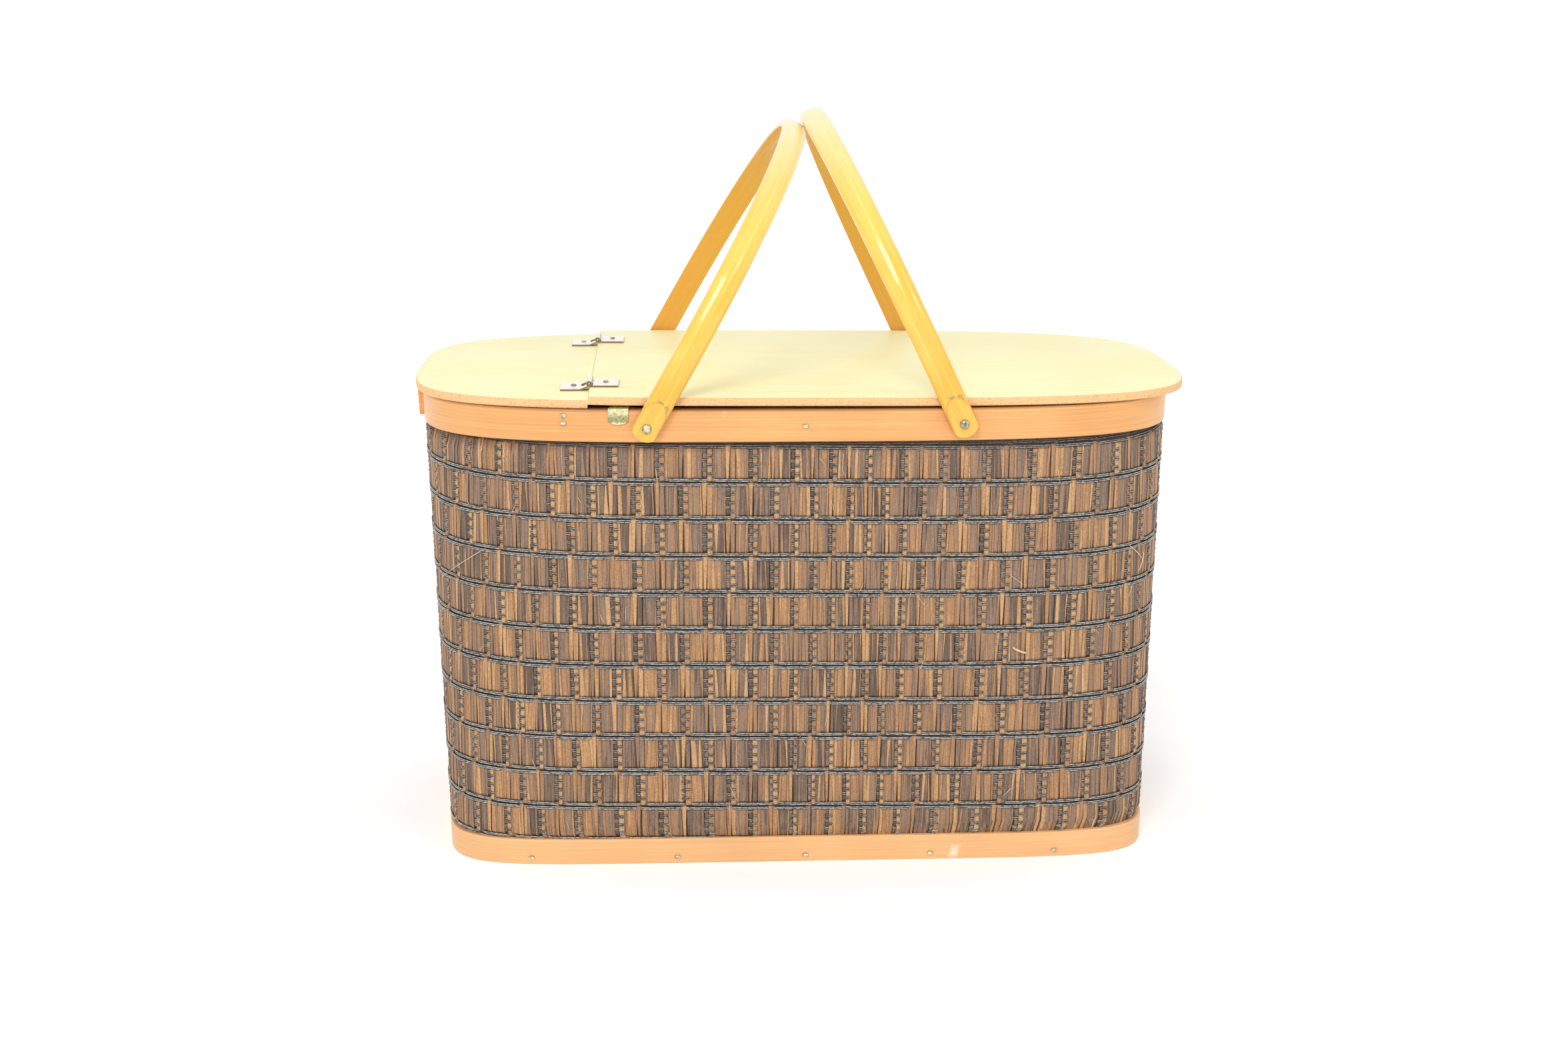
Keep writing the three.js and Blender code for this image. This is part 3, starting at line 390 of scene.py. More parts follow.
class Graph:
    """A node tree that is filled by passing fields or plain values."""

    def __init__(self, tree):
        self.tree = tree

    def add(self, kind, inputs=(), **settings):
        node = self.tree.nodes.new(kind)
        for name, value in settings.items():
            setattr(node, name, value)
        self.feed(node, dict(inputs))
        return node

    def feed(self, node, values):
        """Links fields to a node's inputs and sets plain values on them."""
        for key, value in values.items():
            if isinstance(value, Field):
                self.tree.links.new(value.socket, node.inputs[key])
            else:
                node.inputs[key].default_value = value

    def out(self, kind, inputs=(), output=0, **settings):
        """The field that a new node gives."""
        return Field(self, self.add(kind, inputs, **settings).outputs[output])

    def math(self, operation, *values):
        return self.out("ShaderNodeMath", enumerate(values), operation=operation)

    def highest(self, first, *others):
        for other in others:
            first = self.math("MAXIMUM", first, other)
        return first

    def whole(self, value, size):
        """How often a size goes into a whole number; the small sum keeps rounding from losing one."""
        return self.math("FLOOR", (value + 0.01) / size)

    def vector(self, x=0.0, y=0.0, z=0.0):
        return self.out("ShaderNodeCombineXYZ", {0: x, 1: y, 2: z})

    def split(self, vector):
        return [Field(self, axis) for axis in self.add("ShaderNodeSeparateXYZ", {0: vector}).outputs]

    def ramped(self, value, low, high, low_result=0.0, high_result=1.0, smooth=False):
        """Runs from one result to the other while the value runs from low to high."""
        kind = "SMOOTHSTEP" if smooth else "LINEAR"
        values = {0: value, 1: low, 2: high, 3: low_result, 4: high_result}
        return self.out("ShaderNodeMapRange", values, interpolation_type=kind)

    def noise(self, vector, scale, detail=4.0, roughness=0.55, distortion=0.0):
        inputs = {"Vector": vector, "Scale": scale, "Detail": detail, "Roughness": roughness}
        return self.out("ShaderNodeTexNoise", {**inputs, "Distortion": distortion})


class Growth(Graph):
    """A geometry node tree with an input for each named value; its source holds them as fields."""

    SOCKETS = {
        float: "NodeSocketFloat", int: "NodeSocketInt",
        bpy.types.Object: "NodeSocketObject", bpy.types.Material: "NodeSocketMaterial",
    }

    def __init__(self, name, values):
        super().__init__(bpy.data.node_groups.new(name, "GeometryNodeTree"))
        self.name, self.values = name, values
        sockets = self.tree.interface
        sockets.new_socket("Geometry", in_out="INPUT", socket_type="NodeSocketGeometry")
        for label, value in values.items():
            sockets.new_socket(label, in_out="INPUT", socket_type=self.SOCKETS[type(value)])
        sockets.new_socket("Geometry", in_out="OUTPUT", socket_type="NodeSocketGeometry")
        self.source = {socket.name: Field(self, socket) for socket in self.add("NodeGroupInput").outputs}

    def close(self, geometry):
        """Ends the tree in realized, smooth geometry with its material."""
        smooth = self.out("GeometryNodeSetShadeSmooth", {0: self.realized(geometry)})
        done = self.out("GeometryNodeSetMaterial", {0: smooth, 2: self.source["Material"]})
        self.add("NodeGroupOutput", {0: done})

    def realized(self, geometry):
        return self.out("GeometryNodeRealizeInstances", {0: geometry})

    def random(self, low, high, identity, seed):
        values = {2: low, 3: high, 7: identity, 8: seed}
        return self.out("FunctionNodeRandomValue", values, output=1, data_type="FLOAT")

    def pick(self, index, values):
        """The one of these plain values that an index says."""
        node = self.add("GeometryNodeIndexSwitch", data_type="FLOAT")
        while len(node.index_switch_items) < len(values):
            node.index_switch_items.new()
        self.feed(node, dict(enumerate((index, *values))))
        return Field(self, node.outputs[0])

    def index(self):
        return self.out("GeometryNodeInputIndex")

    def position(self):
        return self.out("GeometryNodeInputPosition")

    def normal(self):
        return self.out("GeometryNodeInputNormal")

    def stored(self, name, kind="FLOAT"):
        return self.out("GeometryNodeInputNamedAttribute", {0: name}, data_type=kind)

    def store(self, geometry, name, value, domain="INSTANCE"):
        inputs = {0: geometry, 2: name, 3: value}
        return self.out("GeometryNodeStoreNamedAttribute", inputs, data_type="FLOAT", domain=domain)

    def held(self, name):
        """Geometry of the object that an input holds."""
        return self.out("GeometryNodeObjectInfo", {0: self.source[name]}, output="Geometry")

    def place(self, geometry, position):
        return self.out("GeometryNodeSetPosition", {0: geometry, 2: position})

    def leaning(self, lean):
        """Rotation in the plane of the laid out wall."""
        return self.out("FunctionNodeEulerToRotation", {0: self.vector(y=lean)})

    def marked_points(self):
        return self.out("GeometryNodeMeshToPoints", {0: self.held("Places")})

    def blanks(self, points, rotation, scale=(1, 1, 1), **marks):
        """The blank on every point, carrying its marks."""
        inputs = {0: points, 2: self.held("Blank"), 5: rotation, 6: scale}
        placed = self.out("GeometryNodeInstanceOnPoints", inputs)
        for name, value in marks.items():
            placed = self.store(placed, name, value)
        return placed


class Look(Graph):
    """A material's node tree, filled round its surface shader."""

    def __init__(self, name):
        self.material = bpy.data.materials.new(name)
        self.material.use_nodes = True
        super().__init__(self.material.node_tree)

    def painted(self, tone, values=()):
        """Gives the surface shader its colour, which stays at hand as face, and other inputs."""
        self.face = tone
        self.feed(self.tree.nodes["Principled BSDF"], {"Base Color": tone, **dict(values)})

    def object_place(self):
        return self.out("ShaderNodeTexCoord", output="Object")

    def grain_place(self):
        return self.out("ShaderNodeUVMap", uv_map=GRAIN_UV)

    def attribute(self, name):
        return self.out("ShaderNodeAttribute", output="Fac", attribute_name=name)

    def streaks(self, place, stretch, **settings):
        """Noise that is drawn out along the axes with a small stretch."""
        drawn = self.out("ShaderNodeMapping", {"Vector": place, "Scale": stretch})
        return self.noise(drawn, 1.0, **settings)

    def bump(self, height, strength, depth, **normal):
        inputs = {"Strength": strength, "Distance": depth, "Height": height, **normal}
        return self.out("ShaderNodeBump", inputs)

    def blend(self, factor, first, second, mode="MIX"):
        """Mixes a colour with another colour or an RGB triple."""
        other = second if isinstance(second, Field) else (*second, 1)
        inputs = {"Factor": factor, 6: first, 7: other}
        return self.out("ShaderNodeMix", inputs, output=2, data_type="RGBA", blend_type=mode)

    def coloured(self, factor, *stops):
        """Colours a factor by ramp stops of (place, colour)."""
        node = self.add("ShaderNodeValToRGB", {0: factor})
        elements = node.color_ramp.elements
        while len(elements) < len(stops):
            elements.new(0.5)
        for element, (place, shade) in zip(elements, stops):
            element.position = place
            element.color = (*shade, 1)
        return Field(self, node.outputs[0])


def linked(piece):
    """Adds an object to the scene and returns it."""
    bpy.context.scene.collection.objects.link(piece)
    return piece


def grown(graph, geometry):
    """The plain mesh object of a tree that ends in this geometry; tree and helpers are removed."""
    graph.close(geometry)
    name, tree, values = graph.name, graph.tree, graph.values
    carrier = linked(bpy.data.objects.new(f"{name}_carrier", bpy.data.meshes.new(f"{name}_carrier")))
    modifier = carrier.modifiers.new("Nodes", "NODES")
    modifier.node_group = tree
    for item in tree.interface.items_tree:
        if item.in_out == "INPUT" and item.name in values:
            modifier[item.identifier] = values[item.name]
    depsgraph = bpy.context.evaluated_depsgraph_get()
    mesh = bpy.data.meshes.new_from_object(
        carrier.evaluated_get(depsgraph), preserve_all_data_layers=True, depsgraph=depsgraph
    )
    if not mesh.polygons:
        raise RuntimeError(f"{name}: the node tree made no faces")
    mesh.name = name
    helpers = [value for value in values.values() if isinstance(value, bpy.types.Object)]
    for item in (carrier, *helpers):
        bpy.data.objects.remove(item)
    bpy.data.node_groups.remove(tree)
    return linked(bpy.data.objects.new(name, mesh))


def mesh_object(name, vertices, faces, uvs=None):
    """A mesh object from points, faces and, where given, one UV pair for each face corner."""
    mesh = bpy.data.meshes.new(name)
    mesh.from_pydata(np.asarray(vertices).tolist(), [], faces)
    if uvs is not None:
        layer = mesh.uv_layers.new(name=GRAIN_UV)
        layer.data.foreach_set("uv", np.asarray(uvs, np.float32).ravel())
    return linked(bpy.data.objects.new(name, mesh))


def marked_blank(name, vertices, faces, **marks):
    """A mesh object for instancing with its marks as point attributes."""
    blank = mesh_object(name, vertices, faces)
    for mark, values in marks.items():
        layer = blank.data.attributes.new(mark, "FLOAT", "POINT")
        layer.data.foreach_set("value", np.asarray(values, np.float32))
    return blank


def grid_faces(rows, columns, closed=False, first=0):
    """Quads between rows of points, where each row may close into a ring."""
    faces = []
    for row in range(rows - 1):
        low, high = first + row * columns, first + (row + 1) * columns
        for left in range(columns if closed else columns - 1):
            right = (left + 1) % columns
            faces.append([low + left, low + right, high + right, high + left])
    return faces


def grid_corners(rows, columns):
    """(row, column) values at the corners of a grid's quads, from the values of its lines."""
    corners = []
    for low, high in zip(rows, rows[1:]):
        for left, right in zip(columns, columns[1:]):
            corners += [(low, left), (low, right), (high, right), (high, left)]
    return corners


def travel(points):
    """Distance along a line of points, from its start to each of them."""
    return np.concatenate([[0], np.linalg.norm(np.diff(points, axis=0), axis=1).cumsum()])


def lofted(name, rings, end_faces=()):
    """A tube through rings of points, with a UV map in metres: along the path, across the section."""
    rows, size = rings.shape[:2]
    middle = rings[rows // 2]
    along = travel(rings.mean(1))
    across = travel(np.concatenate([middle, middle[:1]]))
    faces, uvs = grid_faces(rows, size, closed=True), grid_corners(along, across)
    for start, place in ((0, 0.0), ((rows - 1) * size, along[-1])):
        for face in end_faces:
            faces.append([start + j for j in face])
            uvs += [(place, across[j]) for j in face]
    return mesh_object(name, rings.reshape(-1, 3), faces, uvs)


def tidy(piece, sharp_degrees=40, weld=0.0):
    """Welds points where asked, turns faces outwards and smooths them between sharp edges."""
    working = bmesh.new()
    working.from_mesh(piece.data)
    if weld:
        bmesh.ops.remove_doubles(working, verts=working.verts, dist=weld)
    bmesh.ops.recalc_face_normals(working, faces=working.faces)
    working.to_mesh(piece.data)
    working.free()
    piece.data.shade_smooth()
    piece.data.set_sharp_from_angle(angle=math.radians(sharp_degrees))
    return piece


def finished(piece, body, slot, *nodes, looks=()):
    """Gives a piece its looks and body and puts it in the place of CAD nodes; slot is not used."""
    for look in looks:
        piece.data.materials.append(look.material)
    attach(piece, body)
    if nodes:
        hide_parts(*nodes)


def box_middle(node):
    low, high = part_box(node)
    return (Vector(low) + Vector(high)) / 2


def wall_span():
    """Heights between which the wall shows: the base band's top and the rim band's lower edge."""
    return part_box("base_band")[1].z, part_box("rim_band_outer")[0].z


def superellipse(half_length, half_width, power, angles):
    """Points of a superellipse at polar angles."""
    cosine, sine = np.cos(angles), np.sin(angles)
    radius = (np.abs(cosine / half_length) ** power + np.abs(sine / half_width) ** power) ** (-1 / power)
    return np.stack([radius * cosine, radius * sine], -1)


def outline(shape, height, inset, angles):
    """Points of the body's outline at a height, moved inwards by one inset or one for each angle."""
    rise = height / shape.rim_height
    length = shape.foot_length + (shape.rim_length - shape.foot_length) * rise
    width = shape.foot_width + (shape.rim_width - shape.foot_width) * rise
    power = 1 / (1 / shape.foot_squareness + (1 / shape.rim_squareness - 1 / shape.foot_squareness) * rise)
    return superellipse(length / 2 - inset, width / 2 - inset, power, angles)


def fine_outline(shape, height, inset):
    """Close outline points from the middle of the back by the left end, and the distance to each."""
    points = outline(shape, height, inset, np.linspace(*FROM_BACK, FINE_STEPS))
    return points, travel(points)


def even_outline(shape, height, inset):
    """Outline points at equal distances, from the middle of the back by the left end."""
    points, way = fine_outline(shape, height, inset)
    places = np.linspace(0, way[-1], ROUND_STEPS)
    return np.stack([np.interp(places, way, points[:, axis]) for axis in (0, 1)], -1)


def wall_inset(shape, height):
    """Inset of the wall's outer face at a height: full behind the bands, less between them."""
    low, high = wall_span()
    reach = np.clip(np.minimum(height - low, high - height) / shape.bulge_rise, 0, 1)
    return float(shape.wall_inset - shape.wall_bulge * reach)


def swept(shape, section, angles, lifts=0.0):
    """Rings of a section, given as (height, inset) points, at angles round the outline."""
    columns = []
    for height, inset in section:
        plane = outline(shape, height, inset - lifts, angles)
        columns.append(np.column_stack([plane, np.full(len(angles), height)]))
    return np.stack(columns, 1)


def dimmed(tint, part):
    return [part * channel for channel in tint]


def wood(name, stops, stretch, roughness, relief, coat=0.0, blotch=0.5):
    """Wood with fine streaks, drawn out by stretch, broad blotches, pores and an uneven gloss."""
    look = Look(name)
    place = look.object_place()
    grain = look.streaks(place, stretch, **FINE_GRAIN)
    broad = look.noise(place, scale=16.0, detail=2)
    look.painted(look.coloured((broad - 0.5) * blotch + grain, *stops), {
        "Roughness": look.ramped(grain, *MIDDLE_TONES, roughness - 0.06, roughness + 0.08),
        "Normal": look.bump(grain, 0.5, relief),
        "Coat Weight": coat,
        "Coat Roughness": 0.08,
    })
    return look


def scrape(look):
    """Scratches through the varnish beside the fourth nail of the base band's front."""
    near, far = box_middle("base_nail_front_4"), box_middle("base_nail_front_5")
    way_to_next, above, slant = 0.19, 0.0008, -0.25
    outer, inner = 0.0035, 0.0012
    middle = near.lerp(far, way_to_next) + Vector((0, 0, above))
    x, _, z = look.split(look.object_place())
    level = z - middle.z
    slanted = level * slant + (x - middle.x)
    spread = look.highest(abs(slanted), abs(level) * 0.7)
    lines = look.noise(look.vector(slanted * 2600.0, 0.0, level * 260.0), 1.0, detail=3, roughness=0.6)
    return look.ramped(spread, outer, inner) * look.ramped(lines, 0.38, 0.58)


def band_wood(finish, shape):
    """Bentwood with fine grain along it, rubbed patches, a foot paler by painted light, and painted shadow
    under the lid.
    """
    stops = [(0.25, finish.band_dark), (0.72, finish.band_light)]
    look = wood("band_wood", stops, stretch=(9, 9, 900), roughness=0.40, relief=0.0002, coat=0.15)
    lid_shadow_from, lid_shadow_to = shape.rim_height - 0.0016, shape.rim_height - 0.0002
    foot_light_from, foot_light_to = 0.05, 0.02
    place = look.object_place()
    height = look.split(place)[2]
    patches = look.noise(place, scale=40.0, detail=5, roughness=0.65)
    rubbed = look.ramped(patches, 0.66, 0.74, 0.0, 0.35, smooth=True)
    # Painted light: the base band turns paler towards its foot.
    foot = look.ramped(height, foot_light_from, foot_light_to, 0.0, 0.3)
    pale = look.blend(look.highest(rubbed, foot), look.face, finish.band_rub_and_foot_light)
    scraped = look.blend(scrape(look), pale, finish.band_scrape)
    # Painted shadow: the band darkens towards its top edge, just under the lid.
    lid_shadowed = look.blend(1.0, look.face, UNDER_LID_SHADOW, "MULTIPLY")
    look.painted(look.blend(look.ramped(height, lid_shadow_from, lid_shadow_to, 0.0, 0.75), scraped, lid_shadowed))
    return look


def half_dome(shape):
    """Distance round a rail's section from the edge of its dome to the middle."""
    across, _, outer = rail_section(shape)
    return travel(np.column_stack([across, outer])[len(across) // 2:])[-1]


def handle_length(shape, inside):
    """Length of a handle along the middle of its section, from leg end to leg end."""
    return travel(handle_rings(shape, inside).mean(1))[-1]


def rail_tones(look, finish, shape, away, across, crown, mixed):
    """Golden lacquer, paler at the crown by painted light and amber down the legs by painted shade, with a
    dark inner face and edges.
    """
    crown_light_from, crown_light_to = 0.14, 0.02
    leg_shade_from, leg_shade_to = crown - 0.13, crown - 0.03
    edge_from, edge_to = 0.08, 0.16
    edge_blur = 0.0004
    face = look.coloured(mixed, (0.25, finish.handle_dark), (0.7, finish.handle_light))
    amber = look.coloured(mixed, (0.35, finish.handle_leg_shade), (1.0, finish.handle_light))
    # Painted light: the crown is made paler.
    crown_lighting = look.ramped(away, crown_light_from, crown_light_to, 0.0, 0.8, smooth=True)
    pale = look.blend(crown_lighting, face, finish.handle_crown_light)
    # Painted shade: the legs turn amber towards their ends.
    deep = look.blend(look.ramped(away, leg_shade_from, leg_shade_to, 0.0, 0.85), pale, amber)
    inner = look.ramped(across, shape.rail_width * 1.02, shape.rail_width * 0.98, 0.0, 0.8)
    dome = half_dome(shape)
    off_middle = abs(across - (shape.rail_width + shape.rail_side + dome))
    side = look.ramped(off_middle, dome - edge_blur, dome + edge_blur, 0.0, 0.6)
    edges = side * look.ramped(away, edge_from, edge_to)
    return look.blend(look.highest(inner, edges), deep, finish.handle_inner)


def shaved_flat(look, finish, shape, place, tone):
    """The flat shaved round a leg's rivet, with a painted shade line along its rim and the scuffs at its
    upper end.
    """
    along, across, _ = look.split(place)
    middle = shape.rail_width + shape.rail_side + half_dome(shape)
    reach = (along - shape.leg_end) / shape.shave_length
    aside = (across - middle) / (shape.rail_width * 0.56)
    spread = look.math("SQRT", reach ** 2.0 + aside ** 2.0)
    flat = look.blend(look.ramped(spread, 1.02, 0.98, 0.0, 0.3), tone, finish.handle_shaved)
    # Painted shade: a dark line along the crease round the shaved flat.
    rim = look.ramped(abs(spread - 1.0), 0.07, 0.02, 0.0, 0.55)
    crease_shaded = look.blend(rim, flat, finish.handle_inner)
    patches = look.noise(place, scale=240.0, detail=4, roughness=0.6)
    rubbed = look.ramped(patches, 0.56, 0.62, 0.0, 0.6, smooth=True)
    upper = look.ramped(reach, 0.55, 0.8) * look.ramped(spread, 1.2, 1.1)
    return look.blend(rubbed * (upper * look.ramped(spread, 0.94, 1.0)), crease_shaded, finish.scuff)


def handle_wood(finish, shape, inside):
    """Lacquered rail: golden grain along it, a darker inner face, duller patches and marks."""
    look = Look("handle_wood")
    place = look.grain_place()
    along, across, _ = look.split(place)
    grain = look.streaks(place, (7, 420, 1), **FINE_GRAIN)
    broad = look.noise(place, scale=22.0, detail=2)
    streaks = look.streaks(place, (9, 190, 1), detail=3, roughness=0.5)
    mixed = (broad - 0.5) * 0.6 + ((streaks - 0.5) * 0.7 + grain)
    crown = handle_length(shape, inside) / 2
    tone = rail_tones(look, finish, shape, abs(along - crown), across, crown, mixed)
    wavy = look.bump(streaks, 0.5, 0.0012)
    look.painted(shaved_flat(look, finish, shape, place, tone), {
        "Roughness": look.ramped(broad, *MIDDLE_TONES, 0.2, 0.34),
        "Normal": look.bump(grain, 0.3, 0.00015, Normal=wavy),
        "Coat Normal": wavy,
        "Specular IOR Level": 0.3,
        "Coat Weight": 0.6,
        "Coat Roughness": 0.06,
    })
    return look


def rim_shadow(look, place):
    """How far a painted shadow darkens the weave close under the rim band."""
    rim = wall_span()[1]
    shade_from, shade_to = rim - 0.007, rim - 0.0005
    return look.ramped(look.split(place)[2], shade_from, shade_to, 0.0, 0.85)


def strip_wood(finish):
    """Flat weave strips, toned strip by strip, with fine upright grain, cracks, thin dark edges, and painted
    shade at dips and under the rim.
    """
    look = Look("weave_strip")
    place = look.object_place()
    edge_width, edge_full = 0.0009, 0.0002
    grain = look.streaks(place, (1500, 1500, 70), detail=5, roughness=0.6)
    mottle = look.noise(place, scale=900.0, detail=4, roughness=0.7)
    splits = look.streaks(place, (640, 640, 24), detail=3, roughness=0.5)
    cracks = look.ramped(splits, 0.64, 0.70, smooth=True)
    tone, across, breadth, dip = map(look.attribute, ("tone", "across", "breadth", "dip"))
    uneven = (0.5 - splits) * 0.9 + ((grain - 0.5) * 0.55 + tone)
    stops = [(0.0, finish.strip_deep), (0.3, finish.strip_cool), (0.7, finish.strip_warm)]
    face = look.coloured((mottle - 0.5) * 0.6 + uneven, *stops, (1.0, finish.strip_pale))
    aged = look.blend(look.ramped(mottle, 0.35, 0.62, 0.35, 0.0), face, STRIP_AGE)
    edge = look.ramped((1.0 - abs(across)) * breadth, edge_width, edge_full, smooth=True)
    # Painted shade where a narrow warp dips under a stitch.
    dip_shade = look.ramped(dip, 0.2, 0.9, 0.0, 0.9)
    # Thin dark edges and cracks, with painted shade at dips and under the rim band.
    darkened = look.highest(edge * 0.85, cracks * 0.5, dip_shade, rim_shadow(look, place))
    dark = look.blend(1.0, face, STRIP_DARK, "MULTIPLY")
    look.painted(look.blend(darkened, aged, dark), {
        "Roughness": look.ramped(grain, *MIDDLE_TONES, 0.45, 0.6),
        "Normal": look.bump(grain, 0.5, 0.0002),
    })
    return look


def cord_fibre(finish):
    """Thread with painted highlights on its crests and painted glints along it, and painted shade on its
    sides and under the rim band.
    """
    look = Look("weave_cord")
    place = look.object_place()
    fibre = look.streaks(place, (620, 620, 1100), detail=4, roughness=0.65)
    # Painted highlight on each thread's upward crest, with painted glints along it.
    crest = look.ramped(abs(look.attribute("crest") - 0.2), 0.8, 0.15)
    lit = crest * (1.0 - rim_shadow(look, place))
    shine = lit * look.ramped(fibre, 0.40, 0.58, 0.2, 1.0)
    look.painted(look.coloured(shine, (0.08, finish.cord_dark), (0.9, finish.cord_crest_highlight)), {
        "Roughness": look.ramped(fibre, *MIDDLE_TONES, 0.25, 0.42),
        "Normal": look.bump(fibre, 0.4, 0.0002),
    })
    return look


def plated(name, tint, roughness, shade, metallic, patch, sides=None):
    """Thin metal plate with small dents, duller patches, painted shade round the rims of domed heads and,
    where given, dark sides.
    """
    look = Look(name)
    place = look.object_place()
    wear = look.noise(place, patch, detail=4, roughness=0.6)
    dents = look.noise(place, scale=900.0, detail=3, roughness=0.5)
    tone = look.coloured(wear, (0.36, dimmed(tint, shade)), (0.58, tint))
    # Painted shade: domed heads darken towards their rims.
    rim_shaded = look.blend(1.0, tone, HEAD_RIM_SHADE, "MULTIPLY")
    tone = look.blend(look.ramped(look.attribute("rim"), 0.7, 0.95), tone, rim_shaded)
    if sides is not None:
        # Faces that turn away from upwards take the darker side colour.
        upward = look.split(look.out("ShaderNodeNewGeometry", output="Normal"))[2]
        tone = look.blend(look.ramped(upward, 0.75, 0.35), tone, sides)
    look.painted(tone, {
        "Roughness": look.ramped(wear, *MIDDLE_TONES, roughness - 0.08, roughness + 0.1),
        "Normal": look.bump(dents, 0.25, 0.0002),
        "Metallic": metallic,
    })
    return look


def clip_metal(finish):
    """Pale plate with painted highlights on the clip's fold and lip and a darker middle between them."""
    look = plated("clip_plate", finish.clip, roughness=0.3, shade=0.5, metallic=0.5, patch=700.0)
    low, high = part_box("rim_clip")
    level = look.ramped(look.split(look.object_place())[2], low.z, high.z)
    bright, darkened = finish.clip_highlight, finish.clip_middle
    # Painted highlights on the fold and the lip, with the darker middle between them.
    tones = look.coloured(level, (0.12, bright), (0.17, darkened), (0.45, darkened), (0.75, bright))
    look.painted(look.blend(0.75, look.face, tones, "MULTIPLY"))
    return look


def wall_surface(shape):
    """The wall's outer face as a grid whose UV map is (share of the way round, share of the height)."""
    low, high = wall_span()
    rise = shape.bulge_rise
    marks = (0, low, low + rise, high - rise, high, shape.rim_height)
    steps = [np.linspace(*ends) for ends in zip(marks, marks[1:], WALL_STEPS)]
    heights = np.unique(np.round(np.concatenate(steps), 6))
    rings = [even_outline(shape, z, wall_inset(shape, z)) for z in heights]
    vertices = [(x, y, z) for ring, z in zip(rings, heights) for x, y in ring]
    corners = grid_corners(heights / shape.rim_height, np.linspace(0, 1, ROUND_STEPS))
    uvs = [(way, level) for level, way in corners]
    surface = mesh_object("wall_surface", vertices, grid_faces(len(heights), ROUND_STEPS), uvs)
    surface.data.shade_smooth()
    return surface


def ribbon_blank(name, stations, crown, dive):
    """A unit ribbon, one wide and one high, crowned across and sunk at both ends."""
    tuck = -RIBBON_TUCK
    sides = ((-0.5, tuck), (-RIBBON_SHOULDER, crown), (RIBBON_SHOULDER, crown), (0.5, tuck))
    drops = [dive if place in (0, 1) else 0 for place in stations]
    vertices = [(x, y - drop, z) for z, drop in zip(stations, drops) for x, y in sides]
    across = [2 * x for x, _, _ in vertices]
    along = [z for _, _, z in vertices]
    faces = grid_faces(len(stations), len(sides))
    return marked_blank(name, vertices, faces, across=across, along=along)


def stitch_blank(name, radius, sides):
    """Threads side by side, one wide, arched with their ends sunk."""
    section = [(math.cos(t), math.sin(t)) for t in np.radians(THREAD_DEGREES)]
    vertices, faces = [], []
    for side in sides:
        faces += grid_faces(len(STITCH_ARCH), len(section), first=len(vertices))
        for x, drop in STITCH_ARCH:
            vertices += [(x, radius * s - drop, side * radius + radius * c) for c, s in section]
    return marked_blank(name, vertices, faces)


class WeaveGrowth(Growth):
    """A tree that lays out a piece of the weave flat and wraps it round the wall."""

    def cells(self, per_cell, spare_rows=0):
        """Index of each point, its index within its cell, the cell's left edge and its upper pick."""
        source, index = self.source, self.index()
        cell = self.whole(index, per_cell)
        row = self.whole(cell, source["Cells"]) - spare_rows
        steps = (row + 2) % 2 * 0.5 + cell % source["Cells"]
        left = steps * source["Cell Width"] + source["Phase"]
        return index, index % per_cell, left, source["Top"] - row * source["Row Height"]

    def cell_points(self, per_cell, spot, spare_rows=0):
        rows = self.source["Rows"] + 2 * spare_rows
        return self.out("GeometryNodePoints", {0: self.source["Cells"] * rows * per_cell, 1: spot})

    def wrapped(self, geometry):
        """Lays flat geometry, x along, y outwards and z up, on the wall's outer face."""
        source, sheet = self.source, self.held("Surface")
        x, y, z = self.split(self.position())
        even = x / (source["Cell Width"] * source["Cells"])
        wave = self.math("SINE", even * source["Swells"] * FULL_TURN + source["Swell Phase"])
        way = self.math("FRACT", wave * source["Swell"] + even + 0.5)

        def sampled(field, height):
            uv = self.vector(way, height / source["Wall Height"])
            inputs = {0: sheet, 1: field, 2: self.stored(GRAIN_UV, "FLOAT_VECTOR"), 3: uv}
            return self.out("GeometryNodeSampleUVSurface", inputs, data_type="FLOAT_VECTOR")

        level = self.split(sampled(self.position(), source["Wall Height"] * 0.5))[0]
        lift = (abs(level) / source["Half Length"]) ** source["Lift Power"] * source["End Lift"]
        height = level * source["Slope"] + z + lift
        outward = {0: sampled(self.normal(), height), "Scale": y}
        rise = self.out("ShaderNodeVectorMath", outward, operation="SCALE")
        spot = {0: sampled(self.position(), height), 1: rise}
        return self.place(geometry, self.out("ShaderNodeVectorMath", spot, operation="ADD"))

    def crested(self, geometry, sharpness):
        """Marks how far threads face upwards for their painted highlight; a sharper mark leaves a thinner
        painted line of light.
        """
        return self.store(geometry, "crest", self.split(self.normal())[2] * sharpness, "POINT")


